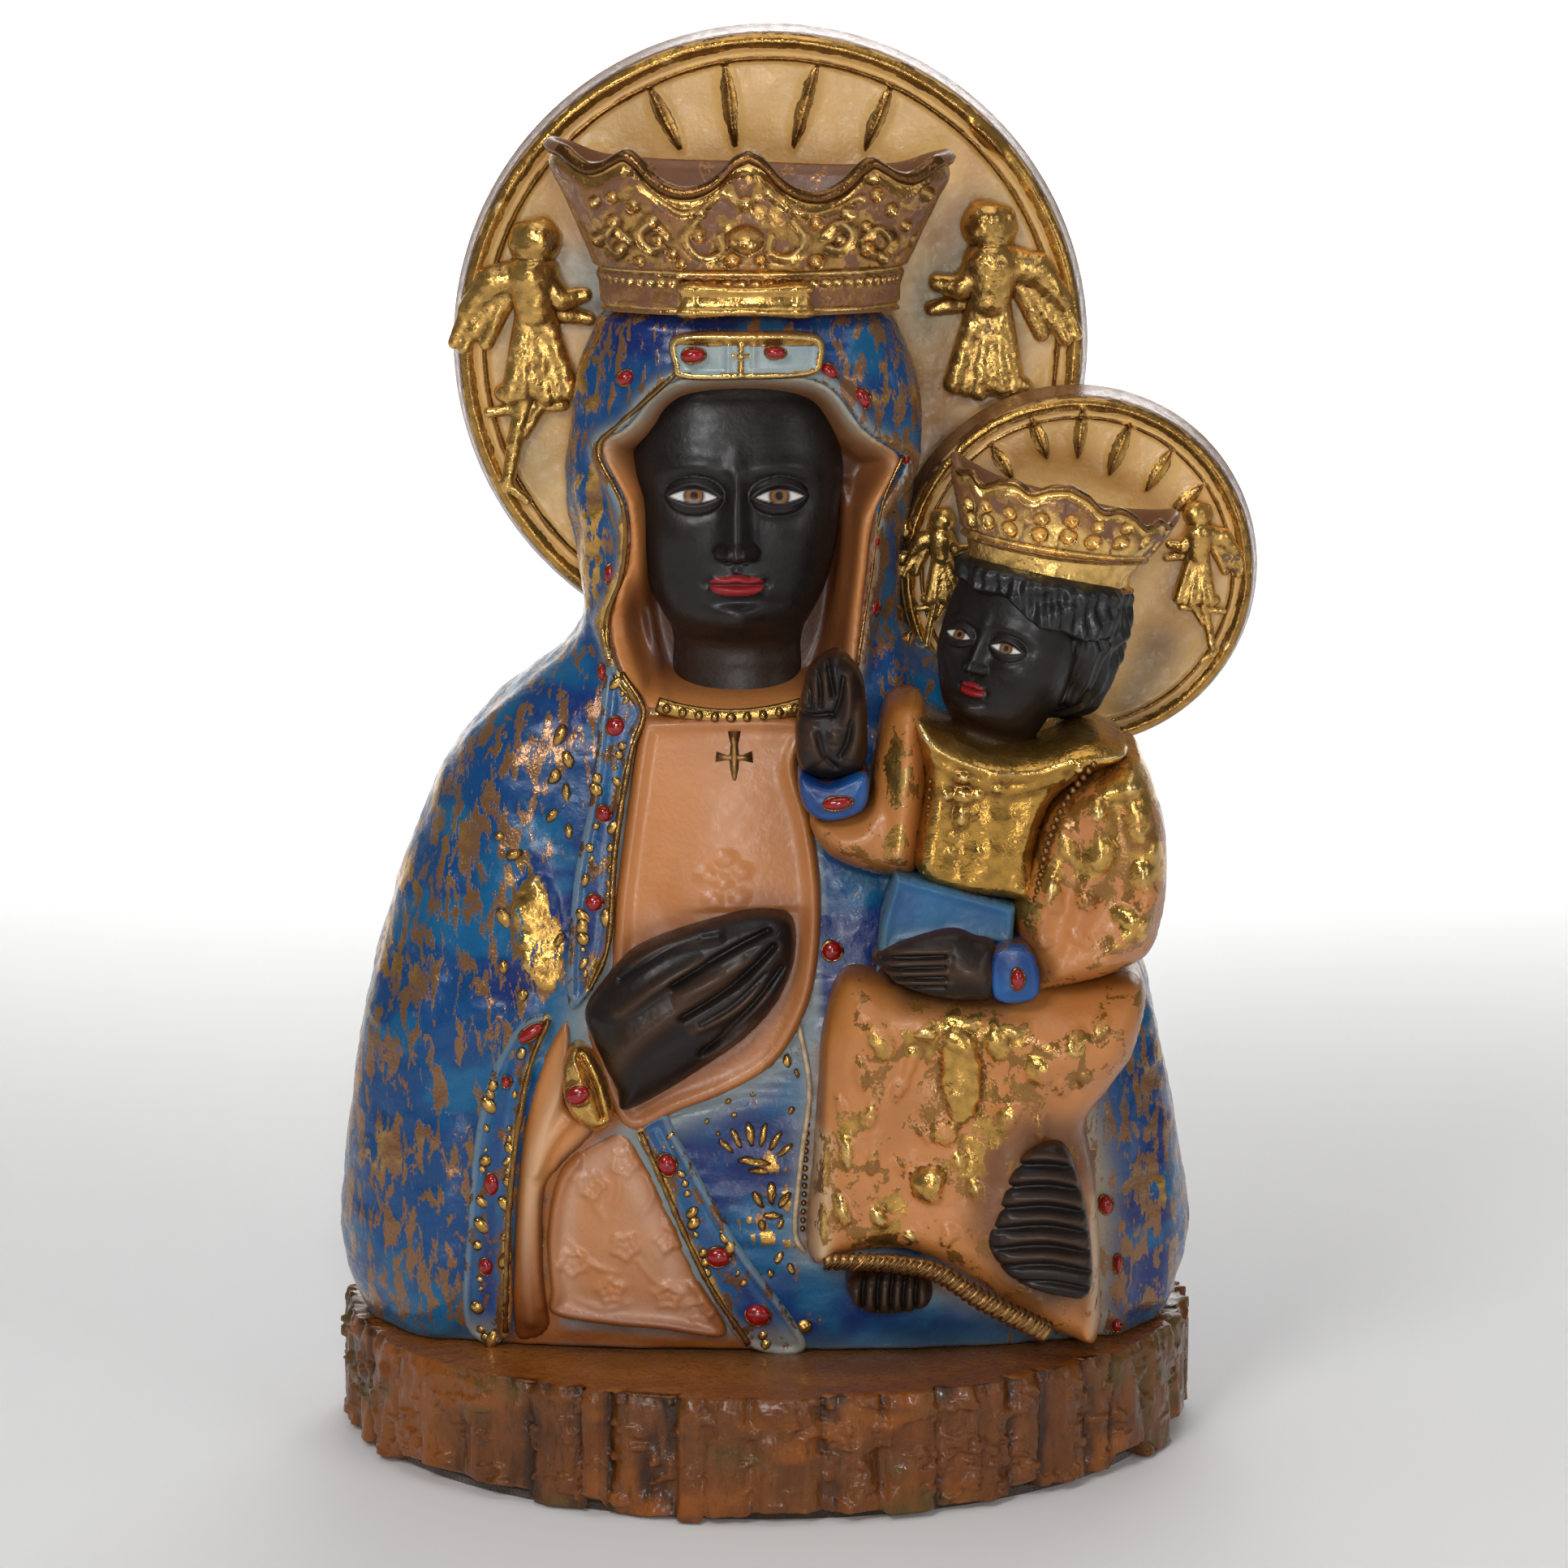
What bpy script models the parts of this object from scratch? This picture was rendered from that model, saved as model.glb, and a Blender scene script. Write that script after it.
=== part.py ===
"""Madonna and child, a devotional statue about 30 cm tall, as an assembly of bonded castings.

Every number below is in millimetres and goes through `point`, which gives Blender metres. +Z is
up, the figure looks towards -Y, and the origin is the middle of the pad that it stands on.
The hollow mantle carries the other castings in pockets: each is seated 0.3 mm clear.
"""

import math

import bmesh
import bpy
from mathutils import Matrix, Vector

MM = 0.001
SEAT_GAP = 0.3

# Driving dimensions
BASE_HEIGHT = 26.4
BASE_HALF_WIDTH = 93.0
BASE_FRONT = 79.0
BASE_BACK = 36.0
BASE_WALL = 6.0
BARK_DEPTH = 1.4
BARK_RIDGES = 28
PAD_THICKNESS = 1.5
PAD_INSET = 5.0
MANTLE_WALL = 10.0
MANTLE_SQUARENESS = 2.6
HALO_CENTRE = (1.4, 232.7)
HALO_RADIUS = 66.5
HALO_FRONT = 8.0
HALO_BACK = 16.0
CHILD_HALO_CENTRE = (66.3, 186.5)
CHILD_HALO_RADIUS = 37.5
CHILD_HALO_FRONT = -6.0
CHILD_HALO_BACK = 2.0
HEAD_CENTRE = (-5.5, -12.0, 202.0)
CHILD_HEAD_CENTRE = (57.0, -33.0, 176.0)
CHILD_TILT = 11.0

# The mantle from hem to hood: height, then the left, right, front and back of its section.
MANTLE_SECTIONS = (
    (BASE_HEIGHT + SEAT_GAP, -86.0, 87.0, -43.0, 28.0),
    (37, -90.0, 90.5, -45.0, 30.0),
    (48, -91.3, 91.5, -46.0, 31.0),
    (65, -90.0, 89.0, -46.0, 32.0),
    (83, -87.5, 86.0, -45.0, 32.0),
    (101, -83.7, 82.0, -43.0, 31.0),
    (119, -78.7, 77.0, -40.0, 30.0),
    (137, -72.0, 70.0, -36.0, 29.0),
    (147, -67.5, 65.0, -34.0, 28.0),
    (156, -60.5, 57.0, -32.0, 27.0),
    (164, -51.0, 46.0, -30.0, 26.0),
    (172, -41.0, 34.0, -29.0, 25.0),
    (190, -39.6, 29.5, -29.0, 24.0),
    (204, -41.5, 32.0, -30.0, 24.0),
    (217, -41.0, 33.4, -31.0, 24.0),
    (230, -38.8, 31.6, -31.0, 23.0),
    (237, -35.5, 29.0, -30.0, 20.0),
    (242.5, -31.0, 24.0, -27.0, 14.0),
)

# Outlines in the XZ plane, as the figure is seen from the front
VEIL_OPENING = (
    (-17, 230), (10, 230), (21, 219), (28.5, 212), (23, 201), (21, 186),
    (18.5, 168), (12, 161), (-22, 161), (-28, 165), (-32, 178), (-28, 191),
    (-28, 203), (-33.5, 215), (-28, 220),
)
DRESS = (
    (-22, 160), (8, 160), (7, 150), (10, 139), (12, 124), (11, 108), (8, 98), (2, 89),
    (-8, 83), (-18, 79), (-26, 75), (-31, 78), (-35, 89), (-37, 98), (-32, 108),
    (-30.5, 124), (-28, 143), (-25.5, 158),
)
SKIRT = (
    (-28, 74), (-34, 73), (-41, 68), (-44, 62), (-45.5, 52), (-45, 40), (-43.5, 33.5),
    (-22, 31), (-7.5, 30), (-14, 44), (-19, 56),
)
SLEEVE_LINING = (
    (-40.5, 98), (-41, 80), (-35, 75), (-42, 67), (-46, 60), (-46, 40), (-45, 31),
    (-50, 27.5), (-53, 31), (-52, 55), (-50, 74), (-46.5, 88),
)
FRONT_BORDER = (
    (-24, 161), (-27, 153), (-30, 133), (-31.5, 114), (-35, 105), (-40.5, 101),
    (-39.5, 125), (-36, 143), (-34, 160), (-32.5, 170), (-29, 168),
)
SLEEVE_BORDER = (
    (-44, 98), (-48, 88), (-50.8, 74), (-52.8, 55), (-53.8, 29), (-63, 30), (-62, 55),
    (-60, 74), (-56, 88), (-50, 97),
)
LOWER_BORDER = (
    (-26.5, 75), (-23, 67), (-13, 44), (-4, 28), (9, 28), (-6, 52), (-18, 74), (-20.5, 79),
)
PRAYING_HAND = (
    (6, 119.5), (1, 121.5), (-5, 121), (-17, 117.5), (-27, 113), (-33, 106.5),
    (-37, 100), (-35.5, 94), (-31, 84), (-29.5, 79), (-22, 82), (-11, 89),
    (-3, 95), (3, 102), (6.5, 111),
)
BRACELET = (
    (-39, 94), (-36, 91.5), (-31.8, 79), (-35, 76.5), (-40, 80.5), (-41.8, 88),
)
CHILD_ROBE = (
    (17, 107), (12, 94), (10.5, 72), (9.5, 49), (20, 51), (30, 51), (41, 46), (49, 40),
    (59, 32), (72, 28.5), (70, 45), (67, 70), (64, 81), (72, 87), (76, 96), (76, 108),
    (60, 106.5), (30, 106),
)
CHILD_TUNIC = (
    (30, 166), (33, 150), (31.5, 131), (50, 125.5), (55, 127), (56, 137), (61, 148),
    (75, 157), (66, 164), (49.7, 160), (41, 164),
)
CHILD_LEFT_SLEEVE = (
    (75, 156), (81, 146), (83, 134), (82, 120.5), (77, 112), (57, 106), (54.5, 111),
    (52, 117), (51, 125), (55, 135), (60, 146),
)
CHILD_RIGHT_SLEEVE = (
    (26, 165), (33, 165), (34, 151), (32, 131.5), (26, 129.5), (19, 131), (12.5, 134.5),
    (10, 142), (21, 145), (23, 155),
)
BOOK = ((26.5, 131), (50.8, 125.5), (50, 118.5), (40, 121), (28, 118.5), (23, 114.5), (24, 122))
CHILD_LEFT_HAND = (
    (23, 114), (28.5, 118.5), (40.5, 121), (47, 116.5), (47, 108), (40, 106.8), (30, 108),
    (26, 111),
)
CHILD_LEFT_CUFF = ((47.4, 116.6), (54.5, 117), (56, 107.5), (47.4, 107))
CHILD_RIGHT_HAND = (
    (8.5, 169.5), (11.5, 174.5), (14.5, 176.3), (17.5, 175.3), (20, 171.5), (21, 162),
    (20.5, 153), (13.5, 150.5), (7.8, 152.5), (6.5, 160),
)
CHILD_RIGHT_CUFF = ((7.8, 151.7), (13.5, 149.7), (20.8, 152), (20.5, 145), (13.5, 142.5), (9, 145))
ROBE_HEM = (
    (12.5, 52), (27, 53.5), (37, 51), (45.5, 45.5), (59, 37), (57.5, 33.5), (44.5, 40.5),
    (35.5, 47.3), (27, 49.5), (13.5, 48.5),
)
LEFT_HAND = (
    (56, 74.5), (61, 75.3), (64, 70), (66.5, 58), (66.5, 44), (57.5, 46), (50.5, 50.3),
    (46.5, 58), (49.5, 65), (53, 72),
)
CHILD_FOOT = ((17.7, 43.5), (20.5, 46.2), (27, 47), (33.5, 45), (34.3, 42.2), (29, 39.3), (21, 39.3))
PENDANT = (
    (-7.2, 155), (-4.8, 155), (-4.8, 152.8), (-2.2, 152.8), (-2.2, 150.6), (-4.8, 150.6),
    (-5.4, 145), (-6.6, 145), (-7.2, 150.6), (-9.6, 150.6), (-9.6, 152.8), (-7.2, 152.8),
)
NECKLACE = ((-21.7, 163), (7.5, 163), (7.5, 158.7), (-21.7, 158.7))
BROW_PLATE = ((-17.5, 239), (10.8, 239), (11.6, 231.5), (-16.8, 231))
CROWN_PLAQUE = ((-17, 249), (10, 249), (10, 243.7), (-17, 243.7))
ANGEL = (
    (-2, 11), (0, 16), (4, 17.5), (7.5, 14), (6, 8.5), (13, 5.5), (19, 0), (20, -8),
    (14, -7), (8, -3), (5, -14), (-8, -16), (-5, -3), (-11, -1.5), (-10.5, 2), (-3, 3.5),
)


def point(x, y, z):
    return Vector((x, y, z)) * MM


def clear_scene():
    for obj in list(bpy.data.objects):
        bpy.data.objects.remove(obj)


def make_material(name, colour, roughness, metallic=0.0):
    material = bpy.data.materials.new(name)
    material.use_nodes = True
    shader = material.node_tree.nodes["Principled BSDF"]
    shader.inputs["Base Color"].default_value = (*colour, 1.0)
    shader.inputs["Roughness"].default_value = roughness
    shader.inputs["Metallic"].default_value = metallic
    return material


def make_object(name, bm, material, smooth_angle=40.0):
    bmesh.ops.recalc_face_normals(bm, faces=bm.faces)
    mesh = bpy.data.meshes.new(name)
    bm.to_mesh(mesh)
    bm.free()
    mesh.shade_smooth()
    mesh.set_sharp_from_angle(angle=math.radians(smooth_angle))
    mesh.materials.append(material)
    obj = bpy.data.objects.new(name, mesh)
    bpy.context.scene.collection.objects.link(obj)
    return obj


def join_rings(bm, rings, cap_first=True, cap_last=True):
    """Faces between neighbouring rings of points, all of one length, with the ends capped."""
    loops = [[bm.verts.new(corner) for corner in ring] for ring in rings]
    for lower, upper in zip(loops, loops[1:]):
        for i in range(len(lower)):
            j = (i + 1) % len(lower)
            bm.faces.new((lower[i], lower[j], upper[j], upper[i]))
    if cap_first:
        bm.faces.new(loops[0])
    if cap_last:
        bm.faces.new(loops[-1])


def make_loft(name, rings, material):
    bm = bmesh.new()
    join_rings(bm, rings)
    return make_object(name, bm, material)


def oval(z, left, right, front, back, squareness=2.0, count=28):
    """One closed section: a superellipse, rounder at 2 and squarer above."""
    centre_x, centre_y = (left + right) / 2, (front + back) / 2
    half_x, half_y = (right - left) / 2, (back - front) / 2
    ring = []
    for i in range(count):
        angle = 2 * math.pi * i / count
        across, along = math.cos(angle), math.sin(angle)
        x = centre_x + half_x * math.copysign(abs(across) ** (2 / squareness), across)
        y = centre_y + half_y * math.copysign(abs(along) ** (2 / squareness), along)
        ring.append(point(x, y, z))
    return ring


def make_mantle_form(name, offset, material, sections=MANTLE_SECTIONS):
    """The mantle's outer form moved out by `offset`, also used to trim what sits on it."""
    rings = []
    for z, left, right, front, back in sections:
        rings.append(
            oval(z, left - offset, right + offset, front - offset, back + offset, MANTLE_SQUARENESS)
        )
    return make_loft(name, rings, material)


def make_panel(name, outline, front, back, material, edge=0.0, segments=2):
    """A flat-backed piece: an XZ outline extruded along Y, its front edge rounded."""
    bm = bmesh.new()
    face = bm.faces.new([bm.verts.new(point(x, back, z)) for x, z in outline])
    raised = bmesh.ops.extrude_face_region(bm, geom=[face])["geom"]
    corners = [item for item in raised if isinstance(item, bmesh.types.BMVert)]
    bmesh.ops.translate(bm, verts=corners, vec=point(0, front - back, 0))
    if edge:
        rim = [e for e in bm.edges if all(v in corners for v in e.verts)]
        bmesh.ops.bevel(
            bm, geom=rim, offset=edge * MM, segments=segments, affect="EDGES", clamp_overlap=True
        )
    return make_object(name, bm, material)


def make_ball(name, centre, radii, material, tilt=0.0):
    bm = bmesh.new()
    turn = Matrix.Rotation(math.radians(tilt), 4, "Y")
    placed = Matrix.Translation(point(*centre)) @ turn @ Matrix.Diagonal((*radii, 1.0))
    bmesh.ops.create_uvsphere(bm, u_segments=16, v_segments=10, radius=MM, matrix=placed)
    return make_object(name, bm, material)


def make_disc(name, centre, profile, material, count=48):
    """A plate turned about Y: `profile` runs from the front's middle to the back's, as (r, y)."""
    bm = bmesh.new()
    rings = []
    for radius, y in profile:
        ring = []
        for i in range(count):
            angle = 2 * math.pi * i / count
            across, up = radius * math.cos(angle), radius * math.sin(angle)
            ring.append(point(centre[0] + across, y, centre[1] + up))
        rings.append(ring)
    join_rings(bm, rings)
    return make_object(name, bm, material)


def make_crown(name, frame, size, rim, material, count=45):
    """An open crown: a floor, a band and a flared wall whose rim rises in `rim[1]` peaks.

    `size` holds the band's half width and half depth, the rim's, the height and the wall.
    """
    band_x, band_y, rim_x, rim_y, height, wall = size
    wave, peaks = rim

    def ring(share, inset, floor=None):
        flare = share**1.3
        half_x = band_x + (rim_x - band_x) * flare - inset
        half_y = band_y + (rim_y - band_y) * flare - inset
        corners = []
        for i in range(count):
            angle = 2 * math.pi * i / count
            crest = wave * math.cos(peaks * angle) * share
            z = floor if floor is not None else height * share + crest
            corners.append(frame @ point(half_x * math.sin(angle), -half_y * math.cos(angle), z))
        return corners

    shares = (0.0, 0.3, 0.65, 1.0)
    rings = [ring(share, 0.0) for share in shares]
    rings += [ring(share, wall) for share in shares[:0:-1]]
    rings.append(ring(0.1, wall, floor=wall))
    bm = bmesh.new()
    join_rings(bm, rings)
    return make_object(name, bm, material)


def apply_boolean(obj, operation, other, solver="EXACT"):
    modifier = obj.modifiers.new(operation.lower(), "BOOLEAN")
    modifier.operation = operation
    modifier.object = other
    modifier.solver = solver
    graph = bpy.context.evaluated_depsgraph_get()
    mesh = bpy.data.meshes.new_from_object(obj.evaluated_get(graph))
    obj.modifiers.remove(modifier)
    old = obj.data
    obj.data = mesh
    mesh.name = old.name
    bpy.data.meshes.remove(old)


def make_grown(obj, gap=SEAT_GAP):
    """A copy of the object with every face moved out by the gap, to cut its seat with."""
    bm = bmesh.new()
    bm.from_mesh(obj.data)
    bmesh.ops.remove_doubles(bm, verts=bm.verts, dist=0.0001 * MM)
    bmesh.ops.triangulate(bm, faces=bm.faces)
    bm.normal_update()
    moves = [v.normal * min(v.calc_shell_factor(), 2.0) * gap * MM for v in bm.verts]
    for vert, move in zip(bm.verts, moves):
        vert.co += move
    copy = make_object(obj.name + "_seat", bm, obj.data.materials[0])
    copy.hide_render = True
    copy.display_type = "WIRE"
    return copy


def keep_main_body(obj):
    """Deletes the off-cuts that a Boolean leaves beside the piece."""
    bm = bmesh.new()
    bm.from_mesh(obj.data)
    unseen = set(bm.verts)
    shells = []
    while unseen:
        shell, front = set(), [unseen.pop()]
        while front:
            vert = front.pop()
            shell.add(vert)
            near = {e.other_vert(vert) for e in vert.link_edges} & unseen
            unseen -= near
            front += near
        shells.append(shell)
    largest = max(shells, key=len)
    off_cuts = [vert for shell in shells if shell is not largest for vert in shell]
    bmesh.ops.delete(bm, geom=off_cuts, context="VERTS")
    bm.to_mesh(obj.data)
    bm.free()


def bounds_meet(first, second):
    for axis in range(3):
        low = max(min(v.co[axis] for v in obj.data.vertices) for obj in (first, second))
        high = min(max(v.co[axis] for v in obj.data.vertices) for obj in (first, second))
        if low > high:
            return False
    return True


def seat_all(pieces):
    """Cuts each piece's seat into every piece behind it; `pieces` runs from front to back.

    EXACT leaves the mantle open after some of these many cuts, so they use MANIFOLD.
    """
    seats = [make_grown(piece) for piece in pieces]
    for i, seat in enumerate(seats):
        for other in pieces[i + 1 :]:
            if bounds_meet(seat, other):
                apply_boolean(other, "DIFFERENCE", seat, "MANIFOLD")
                keep_main_body(other)
        bpy.data.objects.remove(seat)


def make_inlay(name, outline, proud, depth, material):
    """A piece of the front skin: an outline kept between two offsets of the mantle's form."""
    piece = make_panel(name, outline, -70.0, 0.0, material)
    outer = make_mantle_form("outer", proud, material)
    inner = make_mantle_form("inner", proud - depth, material)
    apply_boolean(piece, "INTERSECT", outer)
    apply_boolean(piece, "DIFFERENCE", inner)
    for cutter in (outer, inner):
        bpy.data.objects.remove(cutter)
    keep_main_body(piece)
    return piece


def base_ring(z, inset, bark=0.0, count=112):
    """The base's outline: half an oval in front, a shallower one behind, with bark ridges."""
    ring = []
    for i in range(count):
        angle = 2 * math.pi * i / count
        wave = math.cos(BARK_RIDGES * angle) + 0.5 * math.cos((BARK_RIDGES // 3) * angle + 1.0)
        grow = bark * wave / 1.5 - inset
        depth = BASE_FRONT if math.sin(angle) < 0 else BASE_BACK
        x = (BASE_HALF_WIDTH - bark + grow) * math.cos(angle)
        y = (depth - bark + grow) * math.sin(angle)
        ring.append(point(x, y, z))
    return ring


def make_base(wood, felt):
    foot = PAD_THICKNESS + SEAT_GAP
    rings = [
        base_ring(BASE_HEIGHT - 6.0, BASE_WALL),
        base_ring(foot, BASE_WALL),
        base_ring(foot, 1.0, BARK_DEPTH),
        base_ring(foot + 3.0, 0.0, BARK_DEPTH),
        base_ring(BASE_HEIGHT - 2.0, 0.0, BARK_DEPTH),
        base_ring(BASE_HEIGHT, 2.0),
    ]
    make_loft("base_block", rings, wood)
    faces = [base_ring(z, PAD_INSET, count=64) for z in (0.0, PAD_THICKNESS)]
    make_loft("base_pad", faces, felt)


def make_mantle(blue):
    mantle = make_mantle_form("mantle", 0.0, blue)
    hem = (0.0, *MANTLE_SECTIONS[0][1:])
    hollow = make_mantle_form("hollow", -MANTLE_WALL, blue, (hem, *MANTLE_SECTIONS[1:-1:3]))
    apply_boolean(mantle, "DIFFERENCE", hollow)
    bpy.data.objects.remove(hollow)
    return mantle


def halo_profile(radius, front, back, rim):
    """From the middle of the front out over a raised rim, and back to the middle."""
    return (
        (radius * 0.02, front),
        (radius - 2.6 * rim, front),
        (radius - 2.2 * rim, front - rim * 0.6),
        (radius - 0.3 * rim, front - rim * 0.6),
        (radius, front),
        (radius + 1.5, back),
        (radius * 0.02, back),
    )


def place_angel(x, z, width, height, facing):
    """The angel outline stretched to a width and height; `facing` -1 turns its wing to -X."""
    corners = [(x + facing * width * u, z + height * v) for u, v in ANGEL]
    return corners[::facing]


def make_head(skin):
    head = make_ball("head", HEAD_CENTRE, (22.0, 17.0, 27.0), skin)
    x, y, z = HEAD_CENTRE
    neck = make_ball("neck", (x, y, z - 30.0), (14.0, 14.0, 26.0), skin)
    apply_boolean(head, "UNION", neck)
    bpy.data.objects.remove(neck)
    return head


def make_child_head_group(skin, gold):
    """The child's crown, head and cap of hair, all leaning by CHILD_TILT."""
    x, y, z = CHILD_HEAD_CENTRE
    lean = Matrix.Rotation(math.radians(CHILD_TILT), 4, "Y")
    seat = Matrix.Translation(point(x + 2.5, y + 2.0, z + 15.0)) @ lean
    hair_centre = (x + 1.5, y + 6.0, z + 2.0)
    return [
        make_crown("child_crown", seat, (19.0, 13.5, 24.5, 16.0, 17.0, 2.0), (2.2, 9), gold),
        make_ball("child_head", CHILD_HEAD_CENTRE, (17.5, 16.0, 20.0), skin, CHILD_TILT),
        make_ball("child_hair", hair_centre, (19.5, 20.5, 18.0), skin, CHILD_TILT),
    ]


def main():
    clear_scene()
    blue = make_material("blue_paint", (0.01, 0.09, 0.30), 0.35)
    peach = make_material("peach_resin", (0.58, 0.28, 0.13), 0.45)
    ivory = make_material("ivory_resin", (0.80, 0.60, 0.34), 0.4)
    gold = make_material("gold_paint", (0.60, 0.38, 0.11), 0.25, 1.0)
    skin = make_material("dark_skin_paint", (0.03, 0.022, 0.02), 0.35)
    wood = make_material("bark_paint", (0.20, 0.08, 0.03), 0.4)
    felt = make_material("felt", (0.05, 0.16, 0.08), 0.95)

    # Name, outline, front Y, back Y, material and rounding of the front edge
    front_panels = (
        ("pendant_cross", PENDANT, -38.5, -36.0, gold, 0.5),
        ("brow_plate", BROW_PLATE, -34.5, -27.0, gold, 1.0),
        ("crown_plaque", CROWN_PLAQUE, -37.0, -31.0, gold, 1.0),
        ("right_hand", PRAYING_HAND, -53.0, -38.0, skin, 4.5),
        ("right_cuff", BRACELET, -52.0, -38.0, gold, 2.0),
        ("child_right_hand", CHILD_RIGHT_HAND, -56.0, -44.0, skin, 3.5),
        ("child_right_cuff", CHILD_RIGHT_CUFF, -57.0, -42.0, blue, 2.0),
        ("child_left_hand", CHILD_LEFT_HAND, -65.0, -52.0, skin, 3.0),
        ("child_left_cuff", CHILD_LEFT_CUFF, -64.0, -48.0, blue, 2.0),
        ("child_book", BOOK, -61.0, -46.0, blue, 0.8),
        ("child_foot", CHILD_FOOT, -62.0, -46.0, skin, 3.0),
        ("left_hand", LEFT_HAND, -63.0, -46.0, skin, 3.0),
        ("robe_hem", ROBE_HEM, -64.0, -54.0, gold, 1.2),
    )
    child_panels = (
        ("child_right_sleeve", CHILD_RIGHT_SLEEVE, -56.0, -30.0, peach, 5.0),
        ("child_left_sleeve", CHILD_LEFT_SLEEVE, -60.0, -26.0, peach, 6.0),
        ("child_tunic", CHILD_TUNIC, -57.0, -26.0, gold, 5.0),
        ("child_robe", CHILD_ROBE, -62.0, -32.0, peach, 7.0),
    )
    # Name, outline, stand above the mantle, depth and material
    inlays = (
        ("front_border", FRONT_BORDER, 2.4, 6.0, blue),
        ("sleeve_border", SLEEVE_BORDER, 2.4, 6.0, blue),
        ("lower_border", LOWER_BORDER, 2.0, 6.0, blue),
        ("dress_front", DRESS, 0.6, 5.0, peach),
        ("dress_skirt", SKIRT, 0.6, 5.0, peach),
        ("sleeve_lining", SLEEVE_LINING, 1.2, 5.0, peach),
        ("veil_lining", VEIL_OPENING, 0.6, 8.0, peach),
    )
    angel_back = HALO_FRONT - 1.0
    child_angel_back = CHILD_HALO_FRONT - 0.5
    angels = (
        ("angel_left", place_angel(-50, 230, 0.72, 1.55, -1), 3.5, angel_back, gold, 1.0),
        ("angel_right", place_angel(50, 239, 0.72, 1.1, 1), 3.5, angel_back, gold, 1.0),
        ("child_angel_left", place_angel(38, 189, 0.4, 0.7, -1), -9.5, child_angel_back, gold, 0.5),
        ("child_angel_right", place_angel(93, 190, 0.4, 0.7, 1), -9.5, child_angel_back, gold, 0.5),
    )
    crown_seat = Matrix.Translation(point(-3.5, -14.5, 243.2))
    child_halo = halo_profile(CHILD_HALO_RADIUS, CHILD_HALO_FRONT, CHILD_HALO_BACK, 2.1)
    halo = halo_profile(HALO_RADIUS, HALO_FRONT, HALO_BACK, 2.6)

    front_to_back = [
        make_inlay("necklace", NECKLACE, 2.6, 5.0, gold),
        *[make_panel(*row) for row in front_panels],
        *make_child_head_group(skin, gold),
        *[make_panel(*row) for row in child_panels],
        make_crown("crown", crown_seat, (30.0, 18.0, 43.5, 22.0, 30.0, 2.6), (4.8, 9), gold),
        make_head(skin),
        *[make_inlay(*row) for row in inlays],
        make_mantle(blue),
        *[make_panel(*row) for row in angels],
        make_disc("child_halo", CHILD_HALO_CENTRE, child_halo, ivory),
        make_disc("halo", HALO_CENTRE, halo, ivory),
    ]
    seat_all(front_to_back)
    make_base(wood, felt)


main()
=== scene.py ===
"""The looks of the madonna statue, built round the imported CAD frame.

Shape numbers are millimetres in the frame's axes: +Z is up and the figure faces -Y. Outlines lie
in the XZ plane. A piece is a loft, a relief cut out along an outline, or a clay form of blended
capsules, and it carries two painted layers as point attributes: `paint`, a colour, and `gold`,
how much gold leaf or dry-brushed gold covers it.
"""

import math

import bpy
import numpy as np
import openvdb
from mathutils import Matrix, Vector, geometry


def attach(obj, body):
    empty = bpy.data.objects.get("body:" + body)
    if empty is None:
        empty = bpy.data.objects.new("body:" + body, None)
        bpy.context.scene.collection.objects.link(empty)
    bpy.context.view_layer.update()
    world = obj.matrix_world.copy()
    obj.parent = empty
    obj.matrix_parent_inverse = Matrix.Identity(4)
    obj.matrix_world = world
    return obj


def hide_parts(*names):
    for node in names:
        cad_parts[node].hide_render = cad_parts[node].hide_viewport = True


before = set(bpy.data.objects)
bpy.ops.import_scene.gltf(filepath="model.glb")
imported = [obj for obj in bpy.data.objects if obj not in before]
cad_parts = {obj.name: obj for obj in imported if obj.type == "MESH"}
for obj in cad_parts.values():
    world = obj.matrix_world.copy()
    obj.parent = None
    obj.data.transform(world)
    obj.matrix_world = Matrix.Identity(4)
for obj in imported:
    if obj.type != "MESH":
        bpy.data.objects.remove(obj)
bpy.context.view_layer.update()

MM = 0.001
PEACH = (0.60, 0.232, 0.062)
PEACH_SHADE = (0.25, 0.066, 0.010)
AMBER = (0.30, 0.100, 0.010)
IVORY = (0.84, 0.62, 0.35)
CREAM_BLUE = (0.36, 0.44, 0.46)
BLUE = (0.004, 0.060, 0.20)
DEEP_BLUE = (0.005, 0.016, 0.13)
SKY_BLUE = (0.006, 0.135, 0.29)
GOLD = (0.66, 0.37, 0.085)
GOLD_BROWN = (0.16, 0.072, 0.026)
SKIN = (0.0085, 0.0075, 0.0075)
HAND_BROWN = (0.030, 0.015, 0.009)
RED = (0.36, 0.0015, 0.002)
BARK = (0.175, 0.043, 0.001)


# Numbers ------------------------------------------------------------------------------------


def ease(t):
    t = np.clip(t, 0.0, 1.0)
    return t * t * (3.0 - 2.0 * t)


def bell(distance, width):
    return np.exp(-((distance / width) ** 2))


def noise(u, v, size, seed, octaves=3):
    """Smooth lattice noise from 0 to 1, `size` mm across its largest features."""
    table = np.random.default_rng(seed).random((64, 64))
    total, weight, share = 0.0, 0.0, 1.0
    for _ in range(octaves):
        a, b = np.asarray(u) / size, np.asarray(v) / size
        i, j = np.floor(a).astype(int), np.floor(b).astype(int)
        s, t = ease(a - i), ease(b - j)
        low = table[i % 64, j % 64] * (1 - s) + table[(i + 1) % 64, j % 64] * s
        high = table[i % 64, (j + 1) % 64] * (1 - s) + table[(i + 1) % 64, (j + 1) % 64] * s
        total = total + share * (low * (1 - t) + high * t)
        weight += share
        share *= 0.5
        size *= 0.47
    return total / weight


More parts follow.
